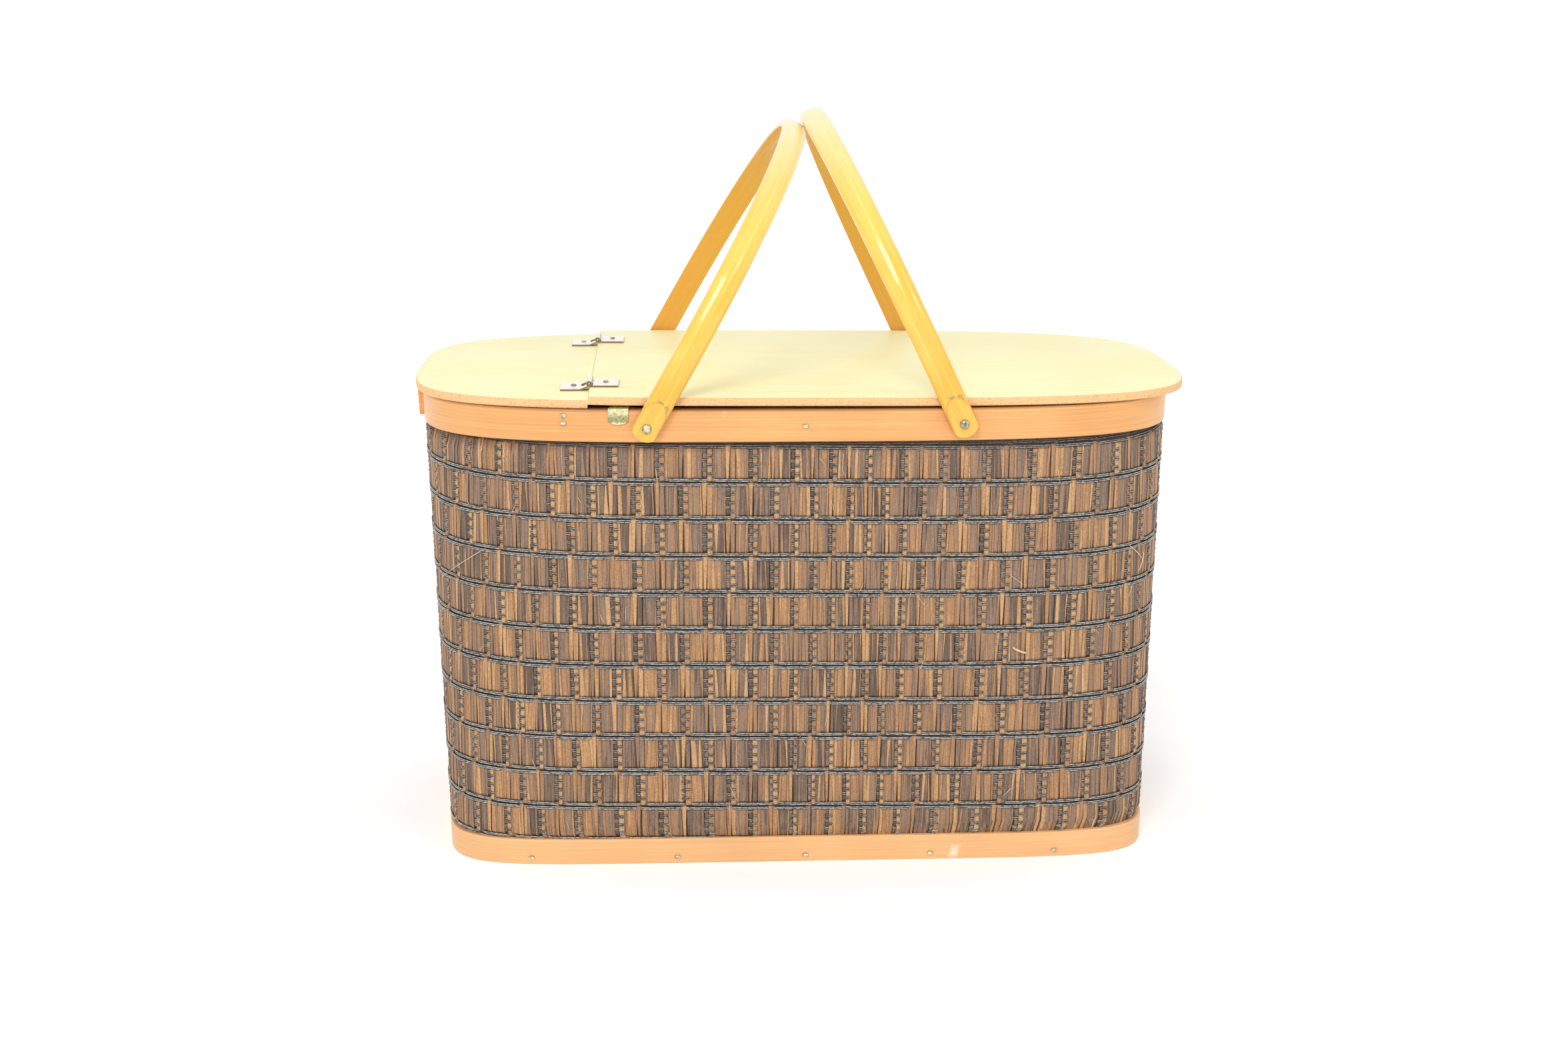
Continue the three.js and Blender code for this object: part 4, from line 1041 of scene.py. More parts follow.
def grow_strips(graph):
    """Flat strips of every cell: two floating warps and two wide strips with narrow ones over them."""
    source = graph.source
    index, lane, left, upper = graph.cells(LANES, spare_rows=1)
    chances = itertools.count()

    def of_lane(values):
        return graph.pick(lane, values)

    def varied(low, high):
        chance = graph.random(0.0, 1.0, index, source["Seed"] + next(chances))
        return chance * (high - low) + low

    def about(middle, spread):
        return varied(middle - spread, middle + spread)

    top = graph.math("MINIMUM", upper - of_lane(STRIP_DROPS), source["Upper Limit"])
    bottom = graph.highest(upper - source["Row Height"] + OVER_PICKS, source["Lower Limit"])
    where = about(of_lane(LANE_MIDDLES), of_lane(LANE_STRAYS))
    middle = where * source["Cell Width"] + left
    depth = about(of_lane(LANE_RISES), STRIP_DEPTH_SPREAD)
    points = graph.cell_points(LANES, graph.vector(middle, depth, bottom), spare_rows=1)
    loose = about(1.0, of_lane(LANE_SPREADS))
    width = of_lane(LANE_WIDTHS) * source["Cell Width"] * loose
    lean = varied(-STRIP_LEAN, STRIP_LEAN) * of_lane(LANE_STRAYS)
    tone = varied(of_lane(LANE_TONES_LOW), of_lane(LANE_TONES_HIGH))
    taper = varied(of_lane(LANE_TAPERS_LOW), of_lane(LANE_TAPERS_HIGH))
    scale = graph.vector(width, 1.0, top - bottom)
    marks = {"tone": tone, "taper": taper, "middle": middle, "breadth": width}
    real = graph.realized(graph.blanks(points, graph.leaning(lean), scale, **marks))
    x, y, z = graph.split(graph.position())
    along, taper, centre = map(graph.stored, ("along", "taper", "middle"))
    below = graph.highest(taper, 0.0) * (1.0 - along)
    above = graph.math("MINIMUM", taper, 0.0) * along
    drawn = (x - centre) * (1.0 - (below - above)) + centre
    return graph.wrapped(graph.place(real, graph.vector(drawn, y, z)))


def grow_ladders(graph):
    """The two narrow warps of every cell that the stitches bind, swelling between them."""
    source, seed = graph.source, graph.source["Seed"]
    index, side, left, upper = graph.cells(len(LADDER_MIDDLES))
    bottom = upper - source["Row Height"] + graph.pick(side, LADDER_FEET)
    middle = graph.pick(side, LADDER_MIDDLES) * source["Cell Width"] + left
    spot = graph.vector(middle, graph.pick(side, LADDER_RISES), bottom)
    points = graph.cell_points(len(LADDER_MIDDLES), spot)
    loose = graph.random(*LADDER_LOOSE, index, seed)
    width = source["Cell Width"] * graph.pick(side, LADDER_WIDTHS) * loose
    lean = graph.random(-LADDER_LEAN, LADDER_LEAN, index, seed + 3)
    chance = graph.random(0.0, LADDER_TONE_SPREAD, index, seed + 5)
    tone = chance + graph.pick(side, LADDER_TONES)
    scale = graph.vector(width, 1.0, upper - UNDER_PICKS - bottom)
    marks = {"tone": tone, "side": side, "upper": upper, "breadth": width}
    real = graph.realized(graph.blanks(points, graph.leaning(lean), scale, **marks))
    x, y, z = graph.split(graph.position())
    wave = graph.math("COSINE", (graph.stored("upper") - z) / source["Pick"] * math.pi)
    signed = wave * (graph.stored("side") * 2.0 - 1.0)
    # The dip mark is where the strips' colour paints shade as the warp sinks under a stitch.
    sunk = graph.store(real, "dip", signed * -1.0, "POINT")
    swollen = graph.vector(x, signed * source["Bead Rise"] + y, z)
    return graph.wrapped(graph.place(sunk, swollen))


def grow_stitches(graph):
    """Short double threads that cross the narrow warps in turn."""
    source, seed = graph.source, graph.source["Seed"]
    index, stitch, left, upper = graph.cells(STITCHES)
    side = stitch % 2
    stray = graph.random(-STITCH_STRAY, STITCH_STRAY, index, seed)
    wobble = graph.random(-STITCH_WOBBLE, STITCH_WOBBLE, index, seed + 1)
    loose = graph.random(*STITCH_LOOSE, index, seed + 2)
    lean = graph.random(-STITCH_LEAN, STITCH_LEAN, index, seed + 3)
    middle = graph.pick(side, LADDER_MIDDLES) * source["Cell Width"] + left + stray
    rise = source["Rise"] + graph.pick(side, STITCH_RISES)
    height = upper - (stitch + FIRST_STITCH) * source["Pick"] + wobble
    points = graph.cell_points(STITCHES, graph.vector(middle, rise, height))
    width = graph.pick(side, STITCH_WIDTHS) * source["Cell Width"] * loose
    placed = graph.blanks(points, graph.leaning(lean), graph.vector(width, 1.0, 1.0))
    return graph.crested(graph.wrapped(graph.realized(placed)), STITCH_SHARPNESS)


def grow_cords(graph):
    """One pick of every double cord between the rows, dipping under the warp that covers it."""
    source, index = graph.source, graph.index()
    row = graph.whole(index, THREADS)
    part = (0.5 - index % THREADS) * (source["Radius"] * 2.0)
    height = source["Top"] - row * source["Row Height"] - source["Drop"] + part
    spots = {0: (source["Rows"] + 1) * THREADS, 1: graph.vector(0.0, source["Rise"], height)}
    points = graph.out("GeometryNodePoints", spots)
    steps = source["Cells"] * source["Points per Cell"]
    reach = source["Cell Width"] * source["Cells"] * (1.0 - 1.0 / steps)
    line = graph.out("GeometryNodeCurvePrimitiveLine", {0: (0, 0, 0), 1: graph.vector(reach)})
    fine = graph.out("GeometryNodeResampleCurve", {0: line, 2: steps})
    placed = graph.out("GeometryNodeInstanceOnPoints", {0: points, 2: fine})
    placed = graph.store(placed, "parity", row % 2)
    chance = graph.random(0.0, THREAD_CHANCES, index, source["Seed"])
    real = graph.realized(graph.store(placed, "thread", chance))
    x, y, z = graph.split(graph.position())
    moved = (x - source["Phase"]) / source["Cell Width"] + WHOLE_CELLS
    lane = graph.math("FRACT", graph.stored("parity") * 0.5 + moved)
    aside = abs(lane - source["Covered Lane"])
    dip = graph.ramped(aside, *CORD_DIP_REACH, smooth=True) * source["Dip"]
    waver = graph.noise(graph.vector(x, graph.stored("thread")), CORD_WAVER_SCALE, detail=2)
    laid = graph.vector(x, y - dip, z + (waver - 0.5) * CORD_WAVER)
    loop = {0: graph.wrapped(graph.place(real, laid)), 2: True}
    closed = graph.out("GeometryNodeSetSplineCyclic", loop)
    ring = graph.out("GeometryNodeCurvePrimitiveCircle", {0: CORD_SIDES, 4: source["Radius"]})
    tube = graph.out("GeometryNodeCurveToMesh", {0: closed, 1: ring})
    return graph.crested(tube, CORD_SHARPNESS)


def grow_fibres(graph):
    """Loose fibres over the weave at marked places."""
    length, girth, lean = map(graph.stored, ("length", "girth", "lean"))
    scale = graph.vector(length, girth, girth)
    placed = graph.blanks(graph.marked_points(), graph.leaning(lean), scale)
    return graph.wrapped(graph.realized(placed))


def grow_heads(graph):
    """Domed heads on marked places, turned to face the way that each place says."""
    facing = {2: graph.stored("facing", "FLOAT_VECTOR")}
    turned = graph.out("FunctionNodeAlignRotationToVector", facing, axis="Z")
    level = {0: turned, 2: (0, 0, 1)}
    upright = graph.out("FunctionNodeAlignRotationToVector", level, axis="Y", pivot_axis="Z")
    return graph.blanks(graph.marked_points(), upright)


def fibre_places(weave, rise):
    """Seeded places of short loose fibres, and the long ones that stand out, with lengths and leans."""
    chance = np.random.default_rng(weave.seed)
    amount = weave.fibres
    around = chance.uniform(-FIBRE_SPAN, FIBRE_SPAN, amount)
    level = chance.uniform(*wall_span(), amount)
    length = chance.uniform(*FIBRE_LENGTHS, amount)
    lean = math.pi / 2 + chance.normal(0, FIBRE_LEAN, amount)
    short = np.column_stack([around, level, length, lean, np.ones(amount)])
    around, level, length, lean, girth = np.concatenate([short, LONG_FIBRES]).T
    spots = np.column_stack([around, rise * girth, level])
    return marked_blank("fibre_places", spots, [], length=length, lean=lean, girth=girth)


def woven(context, name, grow, look, **values):
    """A weave piece that grow lays out from its own values and the common ones, fixed to the basket."""
    shape, weave = context.scene.basket_shape, context.scene.basket_weave
    inset = shape.wall_inset - shape.wall_bulge
    around = float(fine_outline(shape, shape.rim_height / 2, inset)[1][-1])
    common = {
        "Surface": wall_surface(shape), "Material": look.material, "Cells": weave.cells, "Rows": weave.rows,
        "Cell Width": around / weave.cells, "Row Height": weave.row_height, "Top": weave.top,
        "Phase": weave.phase, "Slope": weave.slope, "Wall Height": shape.rim_height,
        "Pick": weave.pick, "Seed": weave.seed, "Swells": weave.swells, "Swell": weave.swell,
        "Swell Phase": weave.swell_phase, "Half Length": shape.rim_length / 2,
        "End Lift": weave.end_lift, "Lift Power": weave.lift_power,
    }
    graph = WeaveGrowth(name, {**common, **values})
    finished(grown(graph, grow(graph)), "basket", "weave")


def rounded_section(bottom, top, inset, thickness, edge):
    """Section of a band as (height, inset) points, with its outer edges rounded."""
    arc = np.linspace(0, math.pi / 2, EDGE_STEPS)
    cuts = [(edge * (1 - math.cos(t)), inset + edge * (1 - math.sin(t))) for t in arc]
    lower = [(bottom + rise, depth) for rise, depth in cuts]
    upper = [(top - fall, depth) for fall, depth in cuts[::-1]]
    return [(bottom, inset + thickness), *lower, *upper, (top, inset + thickness)]


def smooth_rise(values, low, high):
    t = np.clip((values - low) / (high - low), 0, 1)
    return t * t * (3 - 2 * t)


def clipped_lid(shape, nodes, side, seam):
    """Points round one part of the lid, counter-clockwise, cut straight at the seam."""
    lows, highs = zip(*(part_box(node) for node in nodes))
    left, right = min(low.x for low in lows), max(high.x for high in highs)
    width = max(high.y for high in highs)
    angles = np.linspace(0, FULL_TURN, LID_STEPS, endpoint=False)
    points = superellipse((right - left) / 2, width, shape.lid_squareness, angles)
    points[:, 0] += (left + right) / 2
    kept = points[side * (points[:, 0] - seam) > 0]
    gaps = np.linalg.norm(np.roll(kept, -1, axis=0) - kept, axis=1)
    kept = np.roll(kept, -(np.argmax(gaps) + 1), axis=0)
    cut = np.linspace(kept[-1], kept[0], SEAM_POINTS)
    cut[:, 0] = seam
    return np.concatenate([kept, cut])


def outward_normals(points):
    tangent = np.roll(points, -1, axis=0) - np.roll(points, 1, axis=0)
    normal = np.column_stack([tangent[:, 1], -tangent[:, 0]])
    return normal / np.linalg.norm(normal, axis=1)[:, None]


def board(name, shape, points, top, seed, slope, seam):
    """A thin board with soft upper and frayed lower edges, which slopes down from the seam."""
    bottom, size = top - shape.lid_thickness, len(points)
    chance = np.random.default_rng(seed).normal(size=size + 2 * FRAY_MARGIN)
    even = np.ones(FRAY_WINDOW) / FRAY_WINDOW
    rough = np.convolve(chance, even, "same")[FRAY_MARGIN:-FRAY_MARGIN]
    normals = outward_normals(points)
    levels = [(bottom + rise, cut) for rise, cut in LOWER_EDGE]
    levels += [(top - fall, cut) for fall, cut in UPPER_EDGE]
    rings = []
    for place, (height, cut) in enumerate(levels):
        jitter = rough * (shape.lid_fray if place == FRAYED_LEVEL else 0)
        flat = points - normals * (cut + FRAY_CUT * np.abs(jitter))[:, None]
        rings.append(np.column_stack([flat, height + jitter - slope * (flat[:, 0] - seam)]))
    walls = len(levels) - 1
    faces = grid_faces(len(levels), size, closed=True)
    faces += [list(range(size))[::-1], list(range(walls * size, len(levels) * size))]
    piece = mesh_object(name, np.concatenate(rings), faces)
    ring = [1] * (size - SEAM_POINTS) + [0] * SEAM_POINTS
    piece.data.polygons.foreach_set("material_index", ring * walls + [0, 0])
    return tidy(piece, sharp_degrees=35)


def rail_section(shape):
    """Handle section as (across, out) points: the flat inner face, then the domed outer one."""
    half = shape.rail_width / 2
    turns = np.linspace(math.pi, 0, RAIL_STEPS)
    across = half * np.cos(turns)
    dome = shape.rail_side + (shape.rail_thickness - shape.rail_side) * np.sin(turns)
    beyond = np.clip(np.abs(across) / half - RAIL_SOFT_FROM, 0, None) / (1 - RAIL_SOFT_FROM)
    soft = RAIL_SOFT * (1 - np.sqrt(np.clip(1 - beyond**2, 0, 1)))
    return across, soft, dome


def handle_rings(shape, inside):
    """Rings of a handle's rail from one leg end over the crown to the other, before it leans."""
    across, inner, outer = rail_section(shape)
    leg_out = np.array([-1.0, 0.0])
    rings = []

    def add_ring(foot, out, thickness):
        faces = [np.column_stack([across, foot + depth[:, None] * out]) for depth in (inner, thickness)]
        rings.append(np.concatenate([faces[0], faces[1][::-1]]))

    tip = shape.leg_radius - shape.leg_end - np.sqrt(shape.leg_radius**2 - across**2)
    shaved_top = shape.shave_length + SHAVE_RUNOUT
    for step in np.linspace(0, 1, SHAVED_STEPS):
        height = tip + (shaved_top - tip) * step
        shaved = shape.shave_thickness + math.tan(shape.shave_angle) * height
        thickness = np.where(height < shape.shave_length, np.minimum(outer, shaved), outer)
        add_ring(np.column_stack([np.full_like(height, -inside), height]), leg_out, thickness)
    for height in np.linspace(shaved_top, shape.leg_straight, LEG_STEPS)[1:-1]:
        add_ring(np.array([-inside, height]), leg_out, outer)
    rise = shape.handle_reach - shape.leg_straight
    for angle in np.linspace(0, math.pi / 2, CROWN_STEPS):
        out = np.array([-math.cos(angle) / inside, math.sin(angle) / rise])
        foot = np.array([-inside * math.cos(angle), shape.leg_straight + rise * math.sin(angle)])
        add_ring(foot, out / np.linalg.norm(out), outer)
    mirrored = [ring * np.array([1, -1, 1]) for ring in rings[-2::-1]]
    return np.stack(rings + mirrored)


def handle(name, shape, pivot, inside, lean):
    """A bent rail on its pivot, leaning about the Y axis."""
    rings = handle_rings(shape, inside)
    size = rings.shape[1]
    end_faces = [[i, i + 1, size - 2 - i, size - 1 - i] for i in range(size // 2 - 1)]
    cosine, sine = math.cos(lean), math.sin(lean)
    x, y, z = np.moveaxis(rings, -1, 0)
    turned = np.stack([pivot.x + x * cosine + z * sine, pivot.y + y, pivot.z - x * sine + z * cosine], -1)
    return tidy(lofted(name, turned, end_faces), sharp_degrees=50)


def dome_blank(name, radius, height, flat):
    """A domed head that stands on the XY plane with a short skirt below it, its Y size cut to flat."""
    turns = np.linspace(0, math.pi / 2, DOME_STEPS)[:-1]
    profile = [(radius, -DOME_SKIRT)] + [(radius * math.cos(t), height * math.sin(t)) for t in turns]
    angles = np.linspace(0, FULL_TURN, DOME_SIDES, endpoint=False)
    vertices = [(r * math.cos(a), flat * r * math.sin(a), z) for r, z in profile for a in angles]
    tip, last = len(vertices), len(vertices) - DOME_SIDES
    vertices.append((0, 0, height))
    faces = grid_faces(len(profile), DOME_SIDES, closed=True)
    faces += [[last + j, last + (j + 1) % DOME_SIDES, tip] for j in range(DOME_SIDES)]
    # The rim mark grows from the top of the head to its base, where the plate paints shade.
    return marked_blank(name, vertices, faces, rim=[max(0.0, 1 - z / height) for _, _, z in vertices])


FACINGS = {"front": (0, -1, 0), "back": (0, 1, 0), "left": (-1, 0, 0), "right": (1, 0, 0)}


def node_facing(node):
    """The way a fastener's head faces, from the last side that its name gives."""
    words = [word for word in node.split("_") if word in FACINGS]
    return Vector(FACINGS[words[-1]])


def heads(name, nodes, look, slot, radius, height, flat=1.0):
    """Domed heads, oval where flat is under 1, in the place of CAD fasteners."""
    facings = [node_facing(node) for node in nodes]
    spots = []
    for node, facing in zip(nodes, facings):
        low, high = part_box(node)
        reach = abs(facing.dot(Vector(high) - Vector(low))) / 2
        spots.append(box_middle(node) + facing * (reach - height))
    places = mesh_object(f"{name}_places", spots, [])
    layer = places.data.attributes.new("facing", "FLOAT_VECTOR", "POINT")
    layer.data.foreach_set("vector", np.array(facings, np.float32).ravel())
    blank = dome_blank(f"{name}_blank", radius, height, flat)
    graph = Growth(name, {"Places": places, "Blank": blank, "Material": look.material})
    finished(grown(graph, grow_heads(graph)), "basket", slot, *nodes)


def dress(look, names):
    """Gives CAD nodes that stay in view a look."""
    for name in names:
        for holder in frame["nodes"][name].material_slots:
            holder.material = look.material


class BASKET_OT_backing(Operator):
    """Builds the shaded wall behind the weave"""

    bl_idname = "basket.backing"
    bl_label = "Weave backing"

    def execute(self, context):
        shape, finish = context.scene.basket_shape, context.scene.basket_finish
        low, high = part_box("woven_wall")
        heights = np.linspace(low.z, high.z, BACKING_STEPS)
        outer = [(z, wall_inset(shape, z) + BACKING_DEPTH) for z in heights]
        inner = [(z, inset + BACKING_THICKNESS) for z, inset in outer[::-1]]
        angles = np.linspace(*FROM_BACK, ROUND_STEPS)
        piece = lofted("weave_backing", swept(shape, outer + inner, angles))
        ring = [0] * BACKING_STEPS + [1] * BACKING_STEPS
        piece.data.polygons.foreach_set("material_index", ring * (ROUND_STEPS - 1))
        tidy(piece, weld=WELD)
        shaded = [(0.3, dimmed(finish.backing, 0.6)), (0.7, finish.backing)]
        bare = [(0.35, finish.strip_cool), (0.65, finish.strip_warm)]
        looks = (
            wood("weave_backing", shaded, stretch=(700, 700, 30), roughness=0.6, relief=0.0003),
            wood("weave_inside", bare, stretch=(500, 500, 30), roughness=0.6, relief=0.0003),
        )
        finished(piece, "basket", "weave", "woven_wall", looks=looks)
        return {"FINISHED"}


class BASKET_OT_strips(Operator):
    """Builds the flat strips of the weave"""

    bl_idname = "basket.strips"
    bl_label = "Weave strips"

    def execute(self, context):
        weave = context.scene.basket_weave
        look = strip_wood(context.scene.basket_finish)
        low, high = wall_span()
        limits = {"Upper Limit": high + BEHIND_BANDS, "Lower Limit": low - BEHIND_BANDS}
        strip = ribbon_blank("strip_blank", STRIP_STATIONS, weave.strip_rise, STRIP_DIVE)
        woven(context, "weave_strips", grow_strips, look, Blank=strip, **limits)
        ladder = ribbon_blank("ladder_blank", LADDER_STATIONS, weave.strip_rise, LADDER_DIVE)
        swell = {"Bead Rise": weave.bead_rise}
        woven(context, "weave_ladders", grow_ladders, look, Blank=ladder, **swell)
        return {"FINISHED"}


class BASKET_OT_cords(Operator):
    """Builds the dark cords and stitches that bind the weave"""

    bl_idname = "basket.cords"
    bl_label = "Weave cords"

    def execute(self, context):
        weave = context.scene.basket_weave
        look = cord_fibre(context.scene.basket_finish)
        stitch = stitch_blank("stitch_blank", weave.cord_radius * STITCH_GIRTH, sides=(-1, 1))
        woven(context, "weave_stitches", grow_stitches, look, Blank=stitch, Rise=weave.stitch_rise)
        for pick, covered in enumerate((LANE_MIDDLES[1], LANE_MIDDLES[0])):
            values = {
                "Radius": weave.cord_radius, "Rise": weave.cord_rise, "Dip": weave.cord_dip,
                "Drop": pick * weave.pick, "Covered Lane": covered, "Points per Cell": CORD_POINTS,
                "Seed": weave.seed + pick,
            }
            woven(context, f"weave_cords_{pick + 1}", grow_cords, look, **values)
        return {"FINISHED"}


class BASKET_OT_fibres(Operator):
    """Builds the loose fibres that stand off the weave"""

    bl_idname = "basket.fibres"
    bl_label = "Loose fibres"

    def execute(self, context):
        weave, finish = context.scene.basket_weave, context.scene.basket_finish
        stops = [(0.3, dimmed(finish.fibre, 0.7)), (0.6, finish.fibre)]
        look = wood("loose_fibre", stops, stretch=(500, 500, 500), roughness=0.5, relief=0.0001)
        blank = stitch_blank("fibre_blank", weave.fibre_radius, sides=(0,))
        places = fibre_places(weave, weave.cord_rise + weave.fibre_radius)
        woven(context, "weave_fibres", grow_fibres, look, Blank=blank, Places=places)
        return {"FINISHED"}


class BASKET_OT_bands(Operator):
    """Builds the bentwood bands at rim and foot"""

    bl_idname = "basket.bands"
    bl_label = "Bentwood bands"

    def execute(self, context):
        shape = context.scene.basket_shape
        look = band_wood(context.scene.basket_finish, shape)
        ramp_end = shape.lap_start + FULL_TURN
        lap = (shape.lap_start, shape.lap_end + FULL_TURN)
        joint = (shape.joint_angle + shape.joint_gap, shape.joint_angle - shape.joint_gap + FULL_TURN)
        plans = {
            "rim_band_outer": (0.0, lap, shape.lap_lift),
            "rim_band_inner": (2 * shape.wall_inset, joint, 0.0),
            "base_band": (0.0, joint, 0.0),
        }
        for node, (inset, ends, lift) in plans.items():
            low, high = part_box(node)
            section = rounded_section(low.z, high.z, inset, shape.band_thickness, shape.band_edge)
            angles = np.linspace(*ends, BAND_STEPS)
            lifts = lift * smooth_rise(angles, ramp_end - shape.lap_ramp, ramp_end)
            end_face = list(range(len(section)))
            piece = tidy(lofted(f"{node}_wood", swept(shape, section, angles, lifts), [end_face]))
            finished(piece, "basket", "bentwood", node, looks=[look])
        return {"FINISHED"}


class BASKET_OT_lids(Operator):
    """Builds the fixed and the hinged lid boards"""

    bl_idname = "basket.lids"
    bl_label = "Lid boards"

    def execute(self, context):
        shape, finish = context.scene.basket_shape, context.scene.basket_finish
        face = [(0.3, finish.lid_grain), (0.6, finish.lid_face)]
        edge = [(0.32, finish.lid_fibre), (0.5, finish.lid_edge)]
        looks = (
            wood("lid_face", face, stretch=(14, 260, 260), roughness=0.42, relief=0.0001, blotch=0.7),
            wood("lid_edge", edge, stretch=(700, 700, 1100), roughness=0.62, relief=0.0004, blotch=0.15),
        )
        nodes = ("fixed_lid", "lid_panel")
        for node, side, body in zip(nodes, (-1, 1), ("basket", "lid")):
            low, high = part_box(node)
            seam = (high.x if side < 0 else low.x) - side * shape.seam_trim
            slope = (high.z - low.z - shape.lid_thickness) / (high.x - low.x)
            points = clipped_lid(shape, nodes, side, seam)
            piece = board(f"{node}_board", shape, points, high.z, LID_SEED + side, slope, seam)
            finished(piece, body, "hardboard", node, looks=looks)
        return {"FINISHED"}


class BASKET_OT_handles(Operator):
    """Builds the two bentwood handles"""

    bl_idname = "basket.handles"
    bl_label = "Handles"

    def execute(self, context):
        shape = context.scene.basket_shape
        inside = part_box("handle_left")[1].y - shape.rail_thickness
        look = handle_wood(context.scene.basket_finish, shape, inside)
        pivots = {joint["child"]: Vector(joint["pos_m"]) for joint in frame["joints"]}
        for name, lean in (("handle_left", shape.left_lean), ("handle_right", shape.right_lean)):
            piece = handle(f"{name}_rail", shape, pivots[name], inside, lean)
            finished(piece, name, "lacquered_wood", name, looks=[look])
        return {"FINISHED"}


class BASKET_OT_metal(Operator):
    """Builds the rivet and nail heads and finishes hinges and clip"""

    bl_idname = "basket.metal"
    bl_label = "Metal parts"

    def execute(self, context):
        finish = context.scene.basket_finish
        bright = plated(
            "hinge_plate", finish.hinge, roughness=0.3, shade=0.9, metallic=0.3, patch=260.0,
            sides=finish.hinge_edge,
        )
        nickel = plated("rivet_plate", finish.rivet, roughness=0.3, shade=0.25, metallic=0.8, patch=420.0)
        dull = plated("nail_plate", finish.nail, roughness=0.4, shade=0.4, metallic=0.4, patch=600.0)
        names = sorted(frame["nodes"])
        rivets = [name for name in names if name.startswith("handle_rivet")]
        nails = [name for name in names if "_nail_" in name]
        heads("rivet_heads", rivets, nickel, "nickel", **RIVET_HEAD)
        heads("nail_heads", nails, dull, "brass", **NAIL_HEAD)
        fasteners = ("rivet_burr", "crossbar_screw", "hinge_pin", "hinge_tack", "hinge_rivet")
        dress(bright, [name for name in names if name.startswith("hinge_leaf")])
        dress(nickel, [name for name in names if name.startswith(fasteners)])
        dress(clip_metal(finish), ["rim_clip"])
        return {"FINISHED"}


class BASKET_OT_inner_wood(Operator):
    """Finishes the base board and the crossbar"""

    bl_idname = "basket.inner_wood"
    bl_label = "Inner wood"

    def execute(self, context):
        finish = context.scene.basket_finish
        stops = [(0.3, finish.plain_dark), (0.7, finish.plain_light)]
        grains = {
            "base_board": ("base_wood", (10, 240, 240)),
            "lid_crossbar": ("crossbar_wood", (300, 10, 300)),
        }
        for node, (name, stretch) in grains.items():
            dress(wood(name, stops, stretch, roughness=0.55, relief=0.0003), [node])
        return {"FINISHED"}


def seen_directly(graph):
    """One for rays from the camera and through mirrors and glass, else nought."""
    path = graph.add("ShaderNodeLightPath").outputs
    rays = ("Is Camera Ray", "Is Glossy Ray", "Is Transmission Ray")
    return graph.highest(*(Field(graph, path[ray]) for ray in rays))


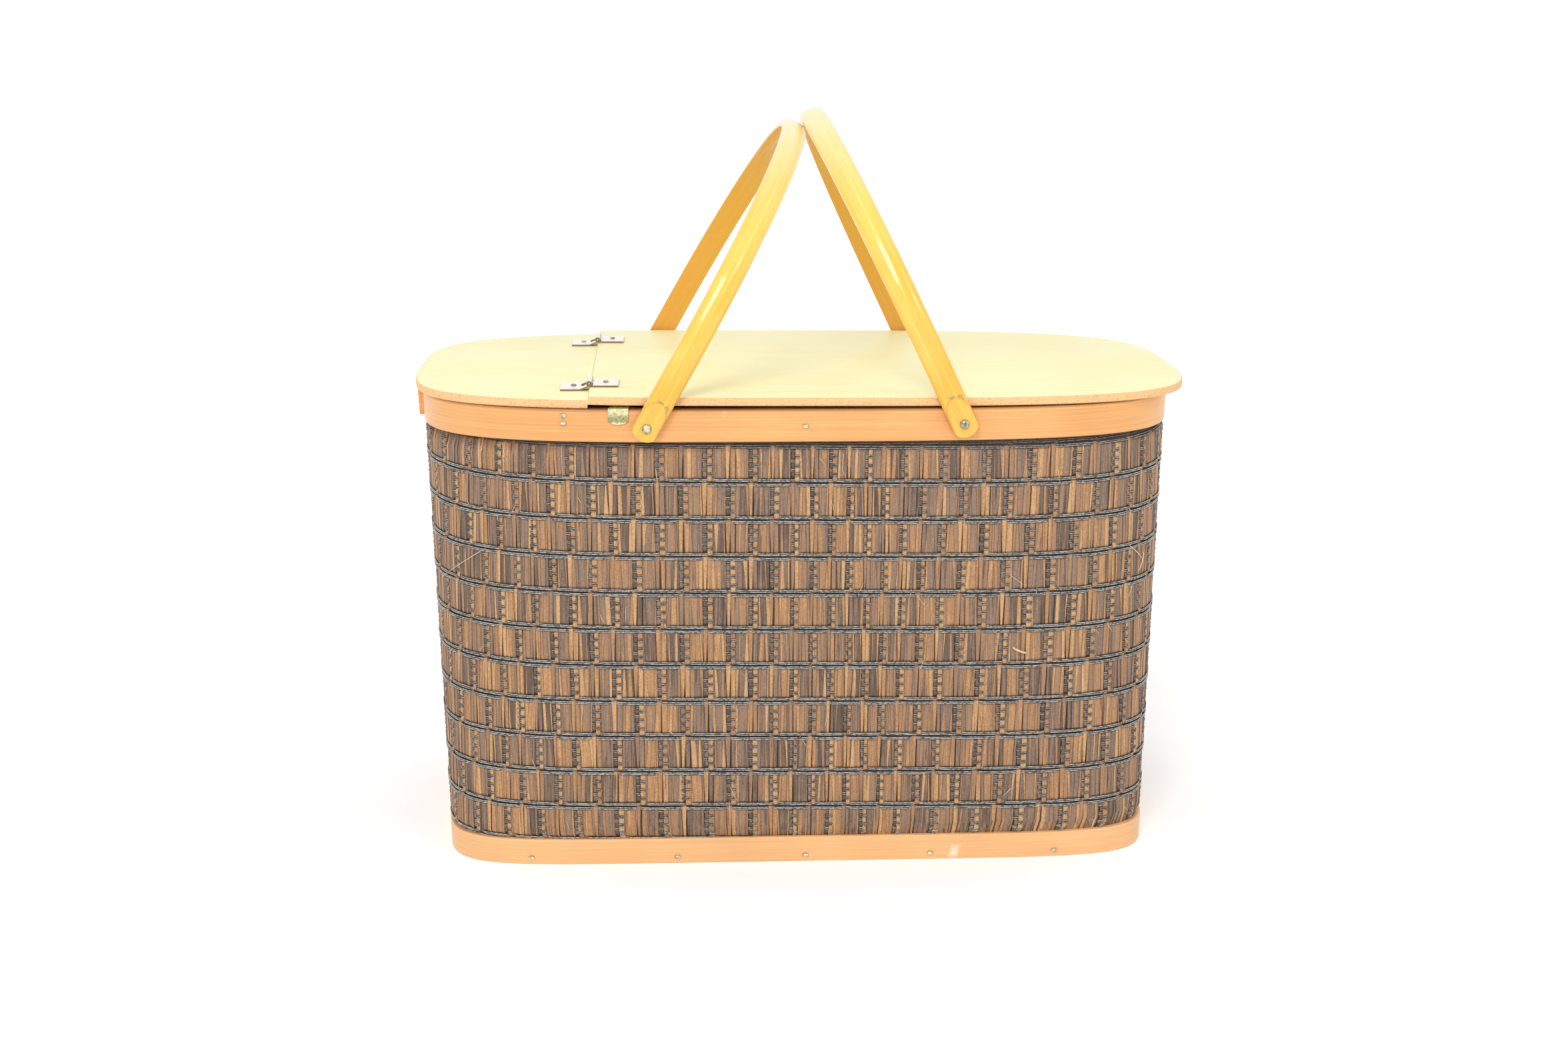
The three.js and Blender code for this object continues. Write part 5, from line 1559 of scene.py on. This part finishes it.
class BASKET_OT_stage(Operator):
    """Builds the floor, the lights and the camera"""

    bl_idname = "basket.stage"
    bl_label = "Stage"

    def execute(self, context):
        scene = context.scene
        self.lay_floor(scene.basket_finish.floor)
        self.light_world(scene)
        for name, (place, size, power) in LAMPS.items():
            self.add_lamp(name, place, size, power)
        self.place_camera(scene)
        scene.view_settings.view_transform = "Standard"
        return {"FINISHED"}

    def lay_floor(self, pale):
        """A wide floor that glows a little to the eye, more so far away, so that it ends in white."""
        near, far = -FLOOR_REACH, FLOOR_REACH
        corners = [(near, near, 0), (far, near, 0), (far, far, 0), (near, far, 0)]
        floor = mesh_object("floor", corners, [[0, 1, 2, 3]])
        look = Look("floor")
        place = look.object_place()
        speck = look.noise(place, FLOOR_SPECKS, detail=3)
        away = look.out("ShaderNodeVectorMath", {0: place}, output="Value", operation="LENGTH")
        glow = look.ramped(away, 0.5, 1.6, 0.2, 0.5)
        look.painted(look.coloured(speck, (0.3, dimmed(pale, 0.97)), (0.7, pale)), {
            "Emission Strength": seen_directly(look) * glow,
            "Emission Color": (*pale, 1),
            "Roughness": 0.9,
            "Specular IOR Level": 0.1,
        })
        floor.data.materials.append(look.material)

    def light_world(self, scene):
        world = bpy.data.worlds.new("studio")
        world.use_nodes = True
        scene.world = world
        graph = Graph(world.node_tree)
        strength = graph.ramped(seen_directly(graph), 0.0, 1.0, ROOM_LIGHT, SEEN_LIGHT)
        graph.feed(world.node_tree.nodes["Background"], {0: (1, 1, 1, 1), 1: strength})

    def add_lamp(self, name, place, size, power):
        lamp = bpy.data.lights.new(name, "AREA")
        lamp.shape = "DISK"
        lamp.size = size
        lamp.energy = power
        holder = linked(bpy.data.objects.new(name, lamp))
        holder.location = place
        holder.rotation_euler = (Vector(LAMP_TARGET) - Vector(place)).to_track_quat("-Z", "Y").to_euler()

    def place_camera(self, scene):
        level = math.cos(CAMERA_PITCH)
        ahead = Vector((math.sin(CAMERA_YAW) * level, math.cos(CAMERA_YAW) * level, -math.sin(CAMERA_PITCH)))
        flat = ahead.cross(Vector((0, 0, 1))).normalized()
        upright = flat.cross(ahead)
        right = flat * math.cos(CAMERA_ROLL) + upright * math.sin(CAMERA_ROLL)
        up = upright * math.cos(CAMERA_ROLL) - flat * math.sin(CAMERA_ROLL)
        lens = bpy.data.cameras.new("camera")
        lens.sensor_width = CAMERA_SENSOR
        lens.lens = CAMERA_LENS
        holder = linked(bpy.data.objects.new("camera", lens))
        turned = Matrix((right, up, -ahead)).transposed().to_4x4()
        holder.matrix_world = Matrix.Translation(CAMERA_PLACE) @ turned
        scene.camera = holder


class BASKET_PT_panel(Panel):
    """Lists the basket's settings and operators"""

    bl_idname = "BASKET_PT_panel"
    bl_label = "Woven Basket"
    bl_space_type = "VIEW_3D"
    bl_region_type = "UI"
    bl_category = "Basket"

    def draw(self, context):
        for operator in OPERATORS:
            self.layout.operator(operator.bl_idname)
        for label in GROUPS:
            box, group = self.layout.box(), getattr(context.scene, label)
            for name in group.__annotations__:
                box.prop(group, name)


OPERATORS = (
    BASKET_OT_backing, BASKET_OT_strips, BASKET_OT_cords, BASKET_OT_fibres, BASKET_OT_bands, BASKET_OT_lids,
    BASKET_OT_handles, BASKET_OT_metal, BASKET_OT_inner_wood, BASKET_OT_stage,
)
GROUPS = {"basket_shape": BasketShape, "basket_weave": BasketWeave, "basket_finish": BasketFinish}


def register():
    for kind in (*GROUPS.values(), *OPERATORS, BASKET_PT_panel):
        bpy.utils.register_class(kind)
    for name, kind in GROUPS.items():
        setattr(bpy.types.Scene, name, PointerProperty(type=kind))


def unregister():
    for name in GROUPS:
        delattr(bpy.types.Scene, name)
    for kind in reversed((*GROUPS.values(), *OPERATORS, BASKET_PT_panel)):
        bpy.utils.unregister_class(kind)


def main():
    register()
    for operator in OPERATORS:
        group, name = operator.bl_idname.split(".")
        if getattr(getattr(bpy.ops, group), name)() != {"FINISHED"}:
            raise RuntimeError(f"{operator.bl_label} did not finish")


if __name__ == "__main__":
    main()
